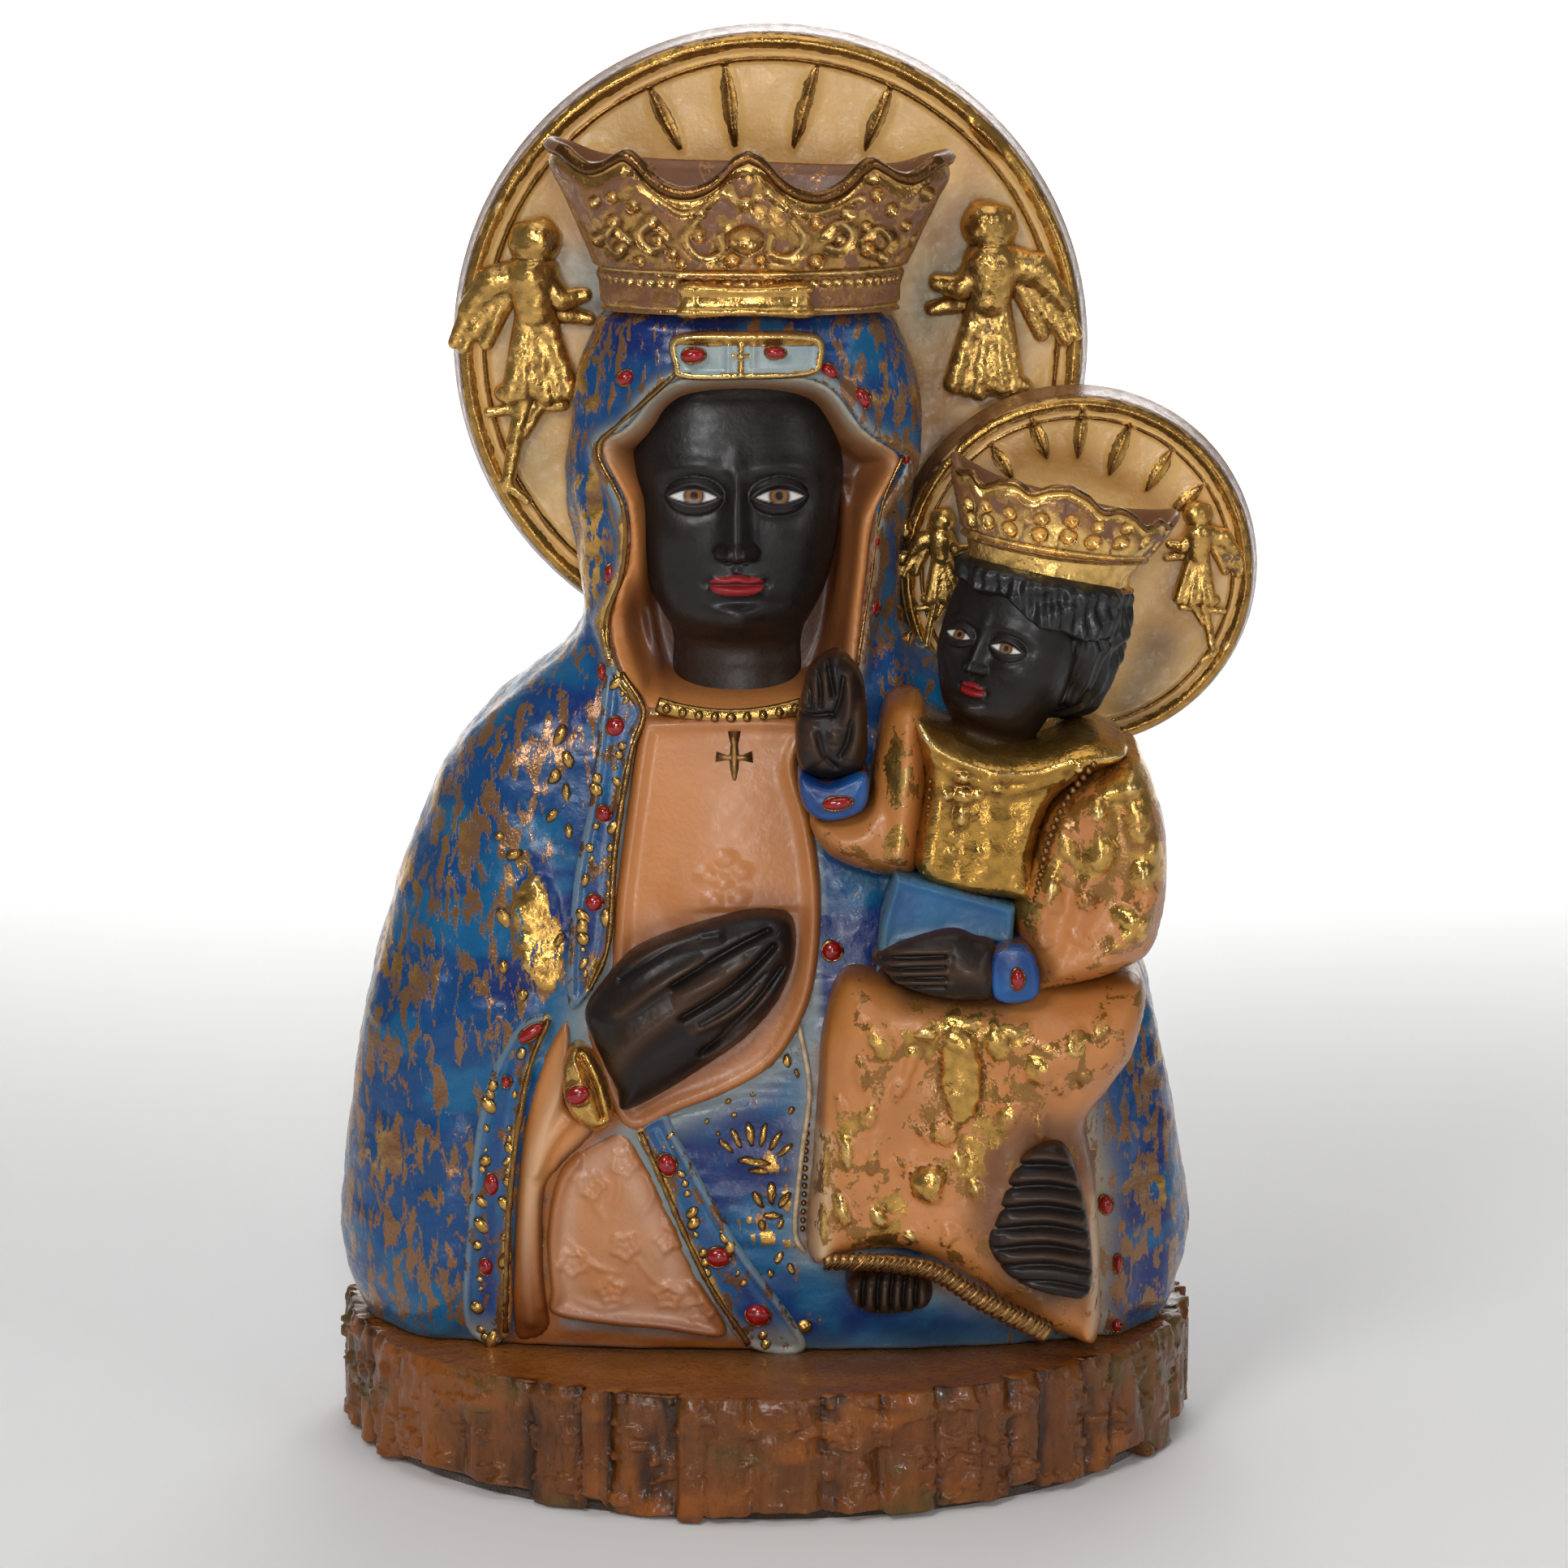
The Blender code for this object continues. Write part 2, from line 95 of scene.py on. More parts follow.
def mix(first, second, share):
    """Colours blended by a number at each point."""
    share = np.clip(share, 0.0, 1.0)[:, None]
    return np.asarray(first) * (1 - share) + np.asarray(second) * share


def through(table, at):
    """Each column of a table read smoothly at `at`, which is measured in its first column."""
    table = np.asarray(table, float)
    key = table[:, 0]
    slope = np.gradient(table[:, 1:], key, axis=0)
    i = np.clip(np.searchsorted(key, at) - 1, 0, len(key) - 2)
    step = (key[i + 1] - key[i])[:, None]
    t = np.clip((at - key[i])[:, None] / step, 0, 1)
    low, high = table[i, 1:], table[i + 1, 1:]
    out = low * (1 + 2 * t) * (1 - t) ** 2 + high * t * t * (3 - 2 * t)
    out += slope[i] * step * t * (1 - t) ** 2 + slope[i + 1] * step * t * t * (t - 1)
    return out.T


def curve(points, closed=False, steps=10):
    """A smooth line through the points."""
    p = np.asarray(points, float)
    if closed:
        p = np.vstack([p[-1], p, p[:2]])
    else:
        p = np.vstack([2 * p[0] - p[1], p, 2 * p[-1] - p[-2]])
    t = np.linspace(0, 1, steps, endpoint=False)[:, None]
    runs = []
    for a, b, c, d in zip(p, p[1:], p[2:], p[3:]):
        run = 2 * b + (c - a) * t + (2 * a - 5 * b + 4 * c - d) * t**2
        runs.append(0.5 * (run + (3 * b - a - 3 * c + d) * t**3))
    if not closed:
        runs.append(p[-2][None])
    return np.vstack(runs)


def respace(line, step, closed=False):
    """The line with a point every `step`."""
    if closed:
        line = np.vstack([line, line[:1]])
    length = np.concatenate([[0], np.cumsum(np.linalg.norm(np.diff(line, axis=0), axis=1))])
    count = max(3, int(round(length[-1] / step)))
    at = np.linspace(0, length[-1], count + 1)
    out = np.stack([np.interp(at, length, line[:, k]) for k in range(line.shape[1])], 1)
    return out[:-1] if closed else out


def to_line(x, z, line, closed=False):
    """Distance from each point to the line, and how far along it the nearest place is, 0 to 1."""
    line = np.asarray(line, float)
    if closed:
        line = np.vstack([line, line[:1]])
    start, run = line[:-1], np.diff(line, axis=0)
    square = np.maximum((run**2).sum(1), 1e-12)
    best = np.full(len(x), 1e9)
    along = np.zeros(len(x))
    for k in range(len(start)):
        dx, dz = x - start[k, 0], z - start[k, 1]
        t = np.clip((dx * run[k, 0] + dz * run[k, 1]) / square[k], 0, 1)
        far = np.hypot(dx - t * run[k, 0], dz - t * run[k, 1])
        closer = far < best
        best[closer] = far[closer]
        along[closer] = (k + t[closer]) / len(start)
    return best, along


def inside(x, z, ring):
    """How deep each point is inside the outline: negative outside."""
    ring = np.asarray(ring, float)
    odd = np.zeros(len(x), bool)
    for (ax, az), (bx, bz) in zip(ring, np.roll(ring, -1, axis=0)):
        spans = (az > z) != (bz > z)
        if az != bz:
            odd ^= spans & (x < (bx - ax) * (z - az) / (bz - az) + ax)
    return np.where(odd, 1, -1) * to_line(x, z, ring, True)[0]


def ridge(x, z, points, width, height, taper=False):
    far, along = to_line(x, z, curve(points))
    if taper:
        height = height * np.clip(4 * along * (1 - along), 0, 1) ** 0.5
    return height * bell(far, width)


def dome(x, z, centre, radii, height, turn=0.0):
    """A round lump with a crisp foot."""
    c, s = math.cos(math.radians(turn)), math.sin(math.radians(turn))
    dx, dz = x - centre[0], z - centre[1]
    q = ((c * dx + s * dz) / radii[0]) ** 2 + ((c * dz - s * dx) / radii[1]) ** 2
    return height * np.sqrt(np.clip(1 - q, 0, 1))


# Materials ----------------------------------------------------------------------------------


class Nodes:
    """A material and short ways to add to it."""

    def __init__(self, name):
        self.material = bpy.data.materials.new(name)
        self.material.use_nodes = True
        self.tree = self.material.node_tree
        self.shader = self.tree.nodes["Principled BSDF"]

    def add(self, kind, inputs=(), **settings):
        node = self.tree.nodes.new("ShaderNode" + kind)
        for key, value in settings.items():
            setattr(node, key, value)
        for key, value in dict(inputs).items():
            self.feed(node.inputs[key], value)
        return node

    def feed(self, socket, value):
        if isinstance(value, bpy.types.NodeSocket):
            self.tree.links.new(value, socket)
        else:
            socket.default_value = value

    def math(self, operation, first, second=0.5, clamp=False):
        node = self.add("Math", {0: first, 1: second}, operation=operation, use_clamp=clamp)
        return node.outputs[0]

    def span(self, value, low, high, to_low=0.0, to_high=1.0):
        keys = {"Value": value, "From Min": low, "From Max": high}
        keys.update({"To Min": to_low, "To Max": to_high})
        node = self.add("MapRange", keys, interpolation_type="SMOOTHSTEP")
        return node.outputs[0]

    def blend(self, share, first, second, mode="MIX"):
        node = self.add("Mix", data_type="RGBA", blend_type=mode)
        for socket, value in zip((node.inputs[0], node.inputs[6], node.inputs[7]), (share, first, second)):
            if isinstance(value, tuple):
                value = (*value, 1.0)
            self.feed(socket, value)
        return node.outputs[2]

    def grain(self, scale, detail=3.0, distortion=0.0, stretch=(1, 1, 1), turn=(0, 0, 0)):
        """Noise in the object's own space, `scale` features to the metre."""
        place = self.add("TexCoord").outputs["Object"]
        place = self.add("Mapping", {0: place, "Rotation": turn, "Scale": stretch}).outputs[0]
        keys = {"Vector": place, "Scale": scale, "Detail": detail, "Distortion": distortion}
        return self.add("TexNoise", keys).outputs["Fac"]

    def attribute(self, name, output="Fac"):
        return self.add("Attribute", attribute_name=name).outputs[output]


def painted_material(name, roughness, wax=0.0, brush=(160, 1.0, 1.0), turn=0.5, ragged=0.6, dull=GOLD_BROWN,
                     shine=0.5, leaf_tone=GOLD, polish=0.14):
    """Cast resin with airbrushed colour under gold: `brush` is the gold's scale and its stretch.

    Where the `gold` layer is thin it is dry-brushed and `dull`; where it is full it is leaf.
    """
    n = Nodes(name)
    paint = n.attribute("paint", "Color")
    cloud = n.grain(70, 4)
    paint = n.blend(n.span(cloud, 0.35, 0.7, 0.0, 0.5), paint, (0.82, 0.78, 0.74), "MULTIPLY")
    dust = n.span(n.grain(2600, 2), 0.66, 0.74, 0.0, 0.1)
    paint = n.blend(dust, paint, (0.03, 0.015, 0.01))
    scale, stretch_x, stretch_z = brush
    strokes = n.grain(scale, 6, 0.6, (stretch_x, 1, stretch_z), (0, turn, 0))
    strokes = n.span(strokes, 0.30, 0.70)
    fine = n.span(n.grain(scale * 6, 3, 0.2, (stretch_x, 1, stretch_z), (0, turn, 0)), 0.3, 0.7)
    level = n.math("ADD", n.math("MULTIPLY", strokes, 0.75), n.math("MULTIPLY", fine, 0.25))
    shift = n.math("MULTIPLY", n.math("SUBTRACT", 0.5, level), ragged)
    cover = n.span(n.math("ADD", n.attribute("gold"), shift), 0.46, 0.54)
    point = n.add("NewGeometry").outputs["Pointiness"]
    leaf = n.span(n.attribute("gold"), 0.50, 0.62)
    tone = n.blend(n.span(n.grain(420, 4), 0.35, 0.7, 0.0, 0.7), leaf_tone, tuple(0.5 * c for c in leaf_tone))
    # Painted shade darkens the gold in hollows and a painted highlight lightens it on raised points, both read from the
    # surface's pointiness.
    tone = n.blend(n.span(point, 0.50, 0.46, 0.0, 0.85), tone, (0.13, 0.048, 0.010))
    tone = n.blend(n.span(point, 0.52, 0.60), tone, (0.98, 0.74, 0.34))
    tone = n.blend(leaf, dull, tone)
    n.feed(n.shader.inputs["Base Color"], n.blend(cover, paint, tone))
    metal = n.math("MULTIPLY", cover, n.span(leaf, 0.0, 1.0, 0.45, 0.88))
    n.feed(n.shader.inputs["Metallic"], metal)
    rub = n.span(n.grain(500, 3), 0.3, 0.7, roughness - 0.07, roughness + 0.09)
    gloss = n.span(n.grain(380, 3), 0.3, 0.7, polish, polish + 0.18)
    both = n.add("Mix", {0: cover, 2: rub, 3: gloss}, data_type="FLOAT").outputs[0]
    n.shader.inputs["Specular IOR Level"].default_value = shine
    n.feed(n.shader.inputs["Roughness"], both)
    if wax:
        n.shader.subsurface_method = "BURLEY"
        n.shader.inputs["Subsurface Weight"].default_value = wax
        n.shader.inputs["Subsurface Radius"].default_value = (1.0, 0.45, 0.2)
        n.shader.inputs["Subsurface Scale"].default_value = 0.0022
    n.shader.inputs["Coat Weight"].default_value = 0.15
    n.shader.inputs["Coat Roughness"].default_value = 0.25
    rough = n.math("ADD", n.grain(900, 4), n.math("MULTIPLY", cover, n.grain(1500, 2)))
    bump = n.add("Bump", {"Strength": 0.35, "Distance": 0.0003, "Height": rough})
    n.feed(n.shader.inputs["Normal"], bump.outputs[0])
    return n.material


def glossy_paint(name, colour, roughness, coat=0.5, scale=700):
    n = Nodes(name)
    shade = n.blend(n.span(n.grain(scale, 3), 0.3, 0.7), colour, tuple(0.55 * c for c in colour))
    n.feed(n.shader.inputs["Base Color"], shade)
    rub = n.span(n.grain(scale * 1.4, 2), 0.3, 0.7, roughness - 0.04, roughness + 0.08)
    n.feed(n.shader.inputs["Roughness"], rub)
    n.shader.inputs["Coat Weight"].default_value = coat
    n.shader.inputs["Coat Roughness"].default_value = 0.12
    bump = n.add("Bump", {"Strength": 0.2, "Distance": 0.0003, "Height": n.grain(1200, 2)})
    n.feed(n.shader.inputs["Normal"], bump.outputs[0])
    return n.material


# Meshes -------------------------------------------------------------------------------------


def build(name, points, faces, material, slot, nodes=(), **layers):
    """The piece itself, from points in mm, with its paint layers and what it stands for."""
    mesh = bpy.data.meshes.new(name)
    mesh.from_pydata((np.asarray(points) * MM).tolist(), [], faces)
    for layer, values in layers.items():
        values = np.asarray(values, np.float32)
        if values.ndim == 1:
            mesh.attributes.new(layer, "FLOAT", "POINT").data.foreach_set("value", values)
        else:
            colour = np.ones((len(values), 4), np.float32)
            colour[:, :3] = values
            made = mesh.attributes.new(layer, "FLOAT_COLOR", "POINT")
            made.data.foreach_set("color", colour.ravel())
    mesh.shade_smooth()
    mesh.materials.append(material)
    mesh.validate()
    piece = bpy.data.objects.new(name, mesh)
    bpy.context.scene.collection.objects.link(piece)
    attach(piece, "root")
    if nodes:
        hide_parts(*nodes)
    return piece


def tube_faces(rows, count, offset=0):
    """Quads between the neighbouring rings of a loft, and a cap on each end."""
    i = np.arange(rows - 1)[:, None] * count
    j = np.arange(count)[None]
    k = (j + 1) % count
    quads = np.stack([i + j, i + k, i + count + k, i + count + j], -1).reshape(-1, 4) + offset
    first = (np.arange(count)[::-1] + offset).tolist()
    last = (np.arange(count) + (rows - 1) * count + offset).tolist()
    return quads.tolist() + [first, last]


def loft(sections, rows, count, squareness=2.0, front_share=0.62):
    """Points of a closed form, rings by columns: a section is height, left, right, front, back."""
    heights = np.linspace(sections[0][0], sections[-1][0], rows)
    left, right, front, back = (c[:, None] for c in through(sections, heights))
    # Columns crowd on the front half, where the relief is.
    near = int(count * front_share)
    turn = np.concatenate(
        [np.linspace(math.pi, 2 * math.pi, near, endpoint=False),
         np.linspace(0, math.pi, count - near, endpoint=False)]
    )[None]
    cx, cy = (left + right) / 2, (front + back) / 2
    across = np.sign(np.cos(turn)) * np.abs(np.cos(turn)) ** (2 / squareness)
    along = np.sign(np.sin(turn)) * np.abs(np.sin(turn)) ** (2 / squareness)
    x = cx + (right - left) / 2 * across
    y = cy + (back - front) / 2 * along
    return np.stack([x, y, np.broadcast_to(heights[:, None], x.shape)], -1)


def ring_normals(grid):
    """Outward normals of a loft's points."""
    around = np.roll(grid, -1, axis=1) - np.roll(grid, 1, axis=1)
    up = np.gradient(grid, axis=0)
    normal = np.cross(around, up)
    return normal / np.maximum(np.linalg.norm(normal, axis=-1, keepdims=True), 1e-9)


def relief(outline, front, back, step=0.8, rounding=1.2, smooth=True, holes=(), draft=0.0):
    """A closed piece cut out along an outline, its front edge rounded.

    `front(x, z, depth)` gives the front's Y. Returns the points, the faces and each point's depth
    inside the outline.
    """
    rings = []
    for ring in (outline, *holes):
        ring = curve(ring, True) if smooth else np.asarray(ring, float)
        rings.append(respace(ring, step, True))
    low, high = rings[0].min(0), rings[0].max(0)
    rows = np.arange(low[1], high[1], step * 0.87)
    grid = [np.stack([np.arange(low[0] + (i % 2) * step / 2, high[0], step), np.full(len(
        np.arange(low[0] + (i % 2) * step / 2, high[0], step)), z)], 1) for i, z in enumerate(rows)]
    grid = np.vstack(grid)

    def depth_of(x, z):
        depth = inside(x, z, rings[0])
        for hole in rings[1:]:
            depth = np.minimum(depth, -inside(x, z, hole))
        return depth

    depth = depth_of(*grid.T)
    grid, depth = grid[depth > 0.55 * step], depth[depth > 0.55 * step]
    edge = np.vstack(rings)
    links, start = [], 0
    for ring in rings:
        links += [(start + i, start + (i + 1) % len(ring)) for i in range(len(ring))]
        start += len(ring)

    def fill(points):
        corners = [Vector(p) for p in points.tolist()]
        out = geometry.delaunay_2d_cdt(corners, links, [], 1, 1e-5, True)
        made = np.array([f for f in out[2] if len(f) == 3])
        origin = np.array([o[0] if o else -1 for o in out[3]])
        made = origin[made]
        made = made[(made >= 0).all(1)]
        a, b, c = (points[made[:, i]] for i in range(3))
        middle = (a + b + c) / 3
        made = made[depth_of(*middle.T) > 0]
        a, b, c = (points[made[:, i]] for i in range(3))
        turned = np.cross(b - a, c - a) > 0
        made[turned] = made[turned][:, ::-1]
        return made[:, ::-1]  # so that a front face looks towards -Y

    flat = np.vstack([edge, grid])
    depths = np.concatenate([np.zeros(len(edge)), depth])
    roll = np.clip(depths / rounding, 0, 1)
    y = front(flat[:, 0], flat[:, 1], depths) + rounding * (1 - np.sqrt(1 - (1 - roll) ** 2))
    faces = fill(flat)
    points = [np.stack([flat[:, 0], y, flat[:, 1]], 1)]
    all_depths = [depths]
    count, total = len(edge), len(flat)
    middle = edge.mean(0)
    loops = [np.arange(count)]
    for share in (0.34, 0.67, 1.0):
        shifted = edge + (edge - middle) / np.maximum(
            np.linalg.norm(edge - middle, axis=1, keepdims=True), 1e-6) * draft * share
        wall = y[:count] + (back - y[:count]) * share
        points.append(np.stack([shifted[:, 0], wall, shifted[:, 1]], 1))
        all_depths.append(np.zeros(count))
        loops.append(np.arange(count) + total)
        total += count
    walls = []
    for near, far in zip(loops, loops[1:]):
        for a, b in links:
            walls.append([near[a], near[b], far[b], far[a]])
    walls = np.array(walls)
    # Match the walls to the front's winding.
    edges_used = {(f[i], f[(i + 1) % 3]) for f in faces.tolist() for i in range(3)}
    if tuple(links[0]) in edges_used:
        walls = walls[:, ::-1]
    rear = fill(edge)[:, ::-1] + (total - count)
    every = faces.tolist() + walls.tolist() + rear.tolist()
    return np.vstack(points), every, np.concatenate(all_depths)


def clay(blobs, cell=0.5, blend=1.0, flat=1.0, floor=None):
    """A closed form of capsules that run into each other: (x, y, z, r, x, y, z, r) each, in mm.

    `flat` squeezes it along Y, about the blobs' own middle, and `floor` is where its back is cut.
    """
    blobs = np.array([b if len(b) == 8 else (*b, *b) for b in blobs], float)
    middle = np.mean([blobs[:, 1].mean(), blobs[:, 5].mean()])
    reach = np.maximum(blobs[:, 3], blobs[:, 7]).max() + 2 * cell + blend
    ends = np.vstack([blobs[:, :3], blobs[:, 4:7]])
    low, high = ends.min(0) - reach, ends.max(0) + reach
    axes = [np.arange(a, b, cell) for a, b in zip(low, high)]
    axes[1] = np.arange(low[1], high[1], cell / max(flat, 0.3) ** 0.5)
    gx, gy, gz = np.meshgrid(*axes, indexing="ij")
    field = np.full(gx.shape, 1e3)
    for ax, ay, az, ar, bx, by, bz, br in blobs:
        run = np.array([bx - ax, by - ay, bz - az])
        square = max(float(run @ run), 1e-9)
        t = ((gx - ax) * run[0] + (gy - ay) * run[1] + (gz - az) * run[2]) / square
        t = np.clip(t, 0, 1)
        far = np.sqrt((gx - ax - t * run[0]) ** 2 + (gy - ay - t * run[1]) ** 2
                      + (gz - az - t * run[2]) ** 2) - (ar + (br - ar) * t)
        if blend:
            h = np.clip(0.5 + 0.5 * (far - field) / blend, 0, 1)
            field = far * (1 - h) + field * h - blend * h * (1 - h)
        else:
            field = np.minimum(field, far)
    if floor is not None:
        field = np.maximum(field, gy - (middle + (floor - middle) / flat))
    grid = openvdb.FloatGrid()
    grid.copyFromArray(field)
    points, quads = grid.convertToQuads(isovalue=0.0)
    steps = np.array([axis[1] - axis[0] for axis in axes])
    points = np.asarray(points, float) * steps + low
    points[:, 1] = middle + (points[:, 1] - middle) * flat
    return points, np.asarray(quads).tolist()


def outline_layers(x, z, table, start):
    """Colours laid one over another: (line or outline, colour, reach in mm, strength) rows."""
    colour = np.broadcast_to(np.asarray(start, float), (len(x), 3)).copy()
    for line, tone, reach, strength in table:
        colour = mix(colour, tone, strength * bell(to_line(x, z, line)[0], reach))
    return colour


def strand(line, radius, sides=8, squash=1.0):
    """A closed tube along 3-D points; `radius` may vary along it, and `squash` flattens it in Y."""
    line = np.asarray(line, float)
    radius = np.broadcast_to(np.asarray(radius, float), (len(line),))
    run = np.gradient(line, axis=0)
    run /= np.maximum(np.linalg.norm(run, axis=1, keepdims=True), 1e-9)
    side = np.cross(run, (0.0, -1.0, 0.0))
    side /= np.maximum(np.linalg.norm(side, axis=1, keepdims=True), 1e-9)
    up = np.cross(side, run)
    turn = np.linspace(0, 2 * math.pi, sides, endpoint=False)
    ring = side[:, None] * np.cos(turn)[None, :, None]
    ring = ring + up[:, None] * np.sin(turn)[None, :, None] * squash
    points = line[:, None] + ring * radius[:, None, None]
    return points.reshape(-1, 3), tube_faces(len(line), sides)


def stud(centre, radii, turn=0.0, sides=14, rows=6):
    """A closed bead: radii are its half width, half depth and half height, turned about Y."""
    polar = np.linspace(0.04, math.pi - 0.04, rows + 2)[:, None]
    around = np.linspace(0, 2 * math.pi, sides, endpoint=False)[None]
    x = radii[0] * np.sin(polar) * np.cos(around)
    z = radii[2] * np.sin(polar) * np.sin(around)
    y = np.broadcast_to(-radii[1] * np.cos(polar), x.shape)
    c, s = math.cos(math.radians(turn)), math.sin(math.radians(turn))
    points = np.stack([c * x + s * z, y, c * z - s * x], -1).reshape(-1, 3) + centre
    return points, tube_faces(rows + 2, sides)


def merge(parts):
    points, faces, start = [], [], 0
    for some, made in parts:
        points.append(some)
        faces += [[i + start for i in face] for face in made]
        start += len(some)
    return np.vstack(points), faces


# The mantle ---------------------------------------------------------------------------------

SQUARENESS = 2.6
MANTLE_SECTIONS = (
    (26.7, -86, 87, -43, 28),
    (37, -90, 90.5, -45, 30),
    (48, -91.3, 91.5, -46, 31),
    (65, -90, 89, -46, 32),
    (83, -87.5, 86, -45, 32),
    (101, -83.7, 82, -43, 31),
    (119, -78.7, 77, -40, 30),
    (137, -72, 70, -36, 29),
    (147, -67.5, 65, -34, 28),
    (156, -60.5, 57, -32, 27),
    (164, -51, 46, -30, 26),
    (172, -41, 34, -29, 25),
    (190, -39.6, 29.5, -29, 24),
    (204, -41.5, 32, -30, 24),
    (217, -41, 33.4, -31, 24),
    (230, -38.8, 31.6, -31, 23),
    (237, -35.5, 29, -30, 20),
    (242.5, -31, 24, -27, 14),
)
VEIL_OPENING = (
    (-17, 230), (10, 230), (21, 219), (28.5, 212), (23, 201), (21, 186),
    (18.5, 168), (12, 161), (-22, 161), (-28, 165), (-32, 178), (-28, 191),
    (-28, 203), (-33.5, 215), (-28, 220),
)
DRESS = (
    (-22, 160), (8, 160), (7, 150), (10, 139), (12, 124), (11, 108), (8, 98), (2, 89),
    (-8, 83), (-18, 79), (-26, 75), (-31, 78), (-35, 89), (-37, 98), (-32, 108),
    (-30.5, 124), (-28, 143), (-25.5, 158),
)
SKIRT = (
    (-28, 74), (-34, 73), (-41, 68), (-44, 62), (-45.5, 52), (-45, 40), (-43.5, 33.5),
    (-22, 31), (-7.5, 30), (-14, 44), (-19, 56),
)
SLEEVE_LINING = (
    (-40.5, 98), (-41, 80), (-35, 75), (-42, 67), (-46, 60), (-46, 40), (-45, 31),
    (-50, 27.5), (-53, 31), (-52, 55), (-50, 74), (-46.5, 88),
)
FRONT_BORDER = (
    (-24, 161), (-27, 153), (-30, 133), (-31.5, 114), (-35, 105), (-40.5, 101),
    (-39.5, 125), (-36, 143), (-34, 160), (-32.5, 170), (-29, 168),
)
SLEEVE_BORDER = (
    (-44, 98), (-48, 88), (-50.8, 74), (-52.8, 55), (-53.8, 29), (-63, 30), (-62, 55),
    (-60, 74), (-56, 88), (-50, 97),
)
LOWER_BORDER = (
    (-26.5, 75), (-23, 67), (-13, 44), (-4, 28), (9, 28), (-6, 52), (-18, 74), (-20.5, 79),
)
VEIL_RING = respace(curve(VEIL_OPENING, True), 1.2, True)
DRESS_RING = respace(curve(DRESS, True), 1.5, True)
SKIRT_RING = respace(curve(SKIRT, True), 1.5, True)
LINING_RING = respace(curve(SLEEVE_LINING, True), 1.5, True)

# Soft folds in the cloak: points, width and height
CLOAK_FOLDS = (
    (((-58, 152), (-66, 128), (-72, 96), (-74, 60), (-72, 30)), 6.0, 1.8),
    (((-50, 158), (-54, 135), (-56, 112), (-60, 100)), 5.0, 1.5),
    (((-46, 130), (-49, 112), (-50, 100)), 3.0, 1.2),
    (((-80, 100), (-83, 70), (-82, 40)), 5.0, 1.2),
    (((-66, 74), (-68, 50), (-68, 30)), 3.4, 1.3),
    (((69, 100), (74, 78), (76, 52), (75, 28)), 4.0, 2.0),
    (((80, 92), (84, 66), (84, 34)), 4.0, 1.6),
    (((-37, 232), (-38.5, 214), (-36, 195), (-36, 176)), 2.6, 1.0),
    (((28, 232), (31, 216), (27, 200), (26, 182), (28, 168)), 2.4, 1.2),
    (((-52, 92), (-66, 96), (-78, 90)), 6.0, 1.2),
)
# Little gold casts on it: place, half sizes, height and turn
CLOAK_LUMPS = (
    ((-42.5, 155), (1.4, 2.6), 1.3, 20), ((-40.6, 150.5), (1.2, 2.2), 1.2, -20),
    ((-43.5, 147), (1.3, 1.9), 1.1, 30), ((-41, 143.5), (1.0, 2.4), 1.1, -10),
    ((-44, 139), (1.1, 1.6), 0.9, 40), ((-40.5, 136), (0.9, 1.8), 0.9, 0),
    ((-52, 131), (2.0, 1.3), 1.3, -20),
    ((-54, 118), (1.2, 2.6), 1.0, -30),
    ((-42.5, 114), (1.0, 2.0), 0.9, 30), ((-54, 108), (1.2, 1.7), 1.0, 0),
    ((-55, 134.5), (1.2, 1.0), 1.0, 0), ((-50, 102.5), (1.1, 1.5), 0.9, 0),
    ((30, 196), (1.5, 2.4), 1.3, 0), ((29, 190), (1.9, 2.0), 1.5, 20),
    ((31, 184), (1.4, 2.7), 1.2, -20), ((28, 179), (1.6, 2.0), 1.2, 0),
    ((30.5, 173.5), (1.3, 2.2), 1.2, 25), ((26.8, 203), (1.2, 2.2), 1.1, 0),
)
# The fan, the fleur and the sprigs on the lower right field
FIELD_LEAVES = (
    ((-7.8, 71.5), (0.75, 2.2), 1.0, -42), ((-5.6, 73.2), (0.8, 2.6), 1.1, -24),
    ((-2.8, 74), (0.85, 2.9), 1.2, -6), ((0, 73.8), (0.85, 2.8), 1.2, 12),
    ((2.5, 72.6), (0.8, 2.5), 1.1, 30), ((4.4, 70.6), (0.75, 2.1), 1.0, 48),
    ((-1.8, 68.4), (3.8, 0.9), 1.0, 4), ((-0.8, 66.2), (2.6, 0.8), 0.9, 0),
    ((1.7, 61.5), (1.0, 2.7), 1.2, 0), ((-1.1, 60), (0.9, 2.2), 1.1, -35),
    ((4.4, 60.2), (0.9, 2.2), 1.1, 35), ((1.8, 56.6), (2.3, 0.8), 0.9, 0),
    ((-0.2, 54.8), (0.8, 1.3), 0.8, -20), ((3.7, 54.9), (0.8, 1.3), 0.8, 20),
    ((-7.3, 81), (0.7, 0.7), 0.7, 0), ((-2.2, 82.5), (0.7, 0.7), 0.7, 0),
    ((5.8, 79), (0.8, 0.8), 0.7, 0), ((-6.2, 78.2), (0.6, 0.6), 0.6, 0),
    ((-11.8, 76.8), (0.6, 0.6), 0.6, 0), ((-9.4, 74.2), (0.6, 0.6), 0.6, 0),
    ((3.2, 47.5), (0.9, 1.6), 0.9, 30), ((5.8, 45.2), (0.7, 1.4), 0.8, -25),
    ((1.4, 44), (0.7, 1.1), 0.7, 0), ((8.5, 32.2), (1.6, 1.6), 0.7, 0),
    ((5, 89.5), (0.9, 1.6), 0.8, 0), ((7, 87), (0.8, 1.1), 0.7, 0),
)
LOWER_GROOVES = (
    ((-20, 78), (-10, 80), (2, 84), (7, 90)),
    ((-18, 72), (-8, 54), (0, 40), (7, 27)),
    ((-12, 86), (0, 89), (8, 98)),
)


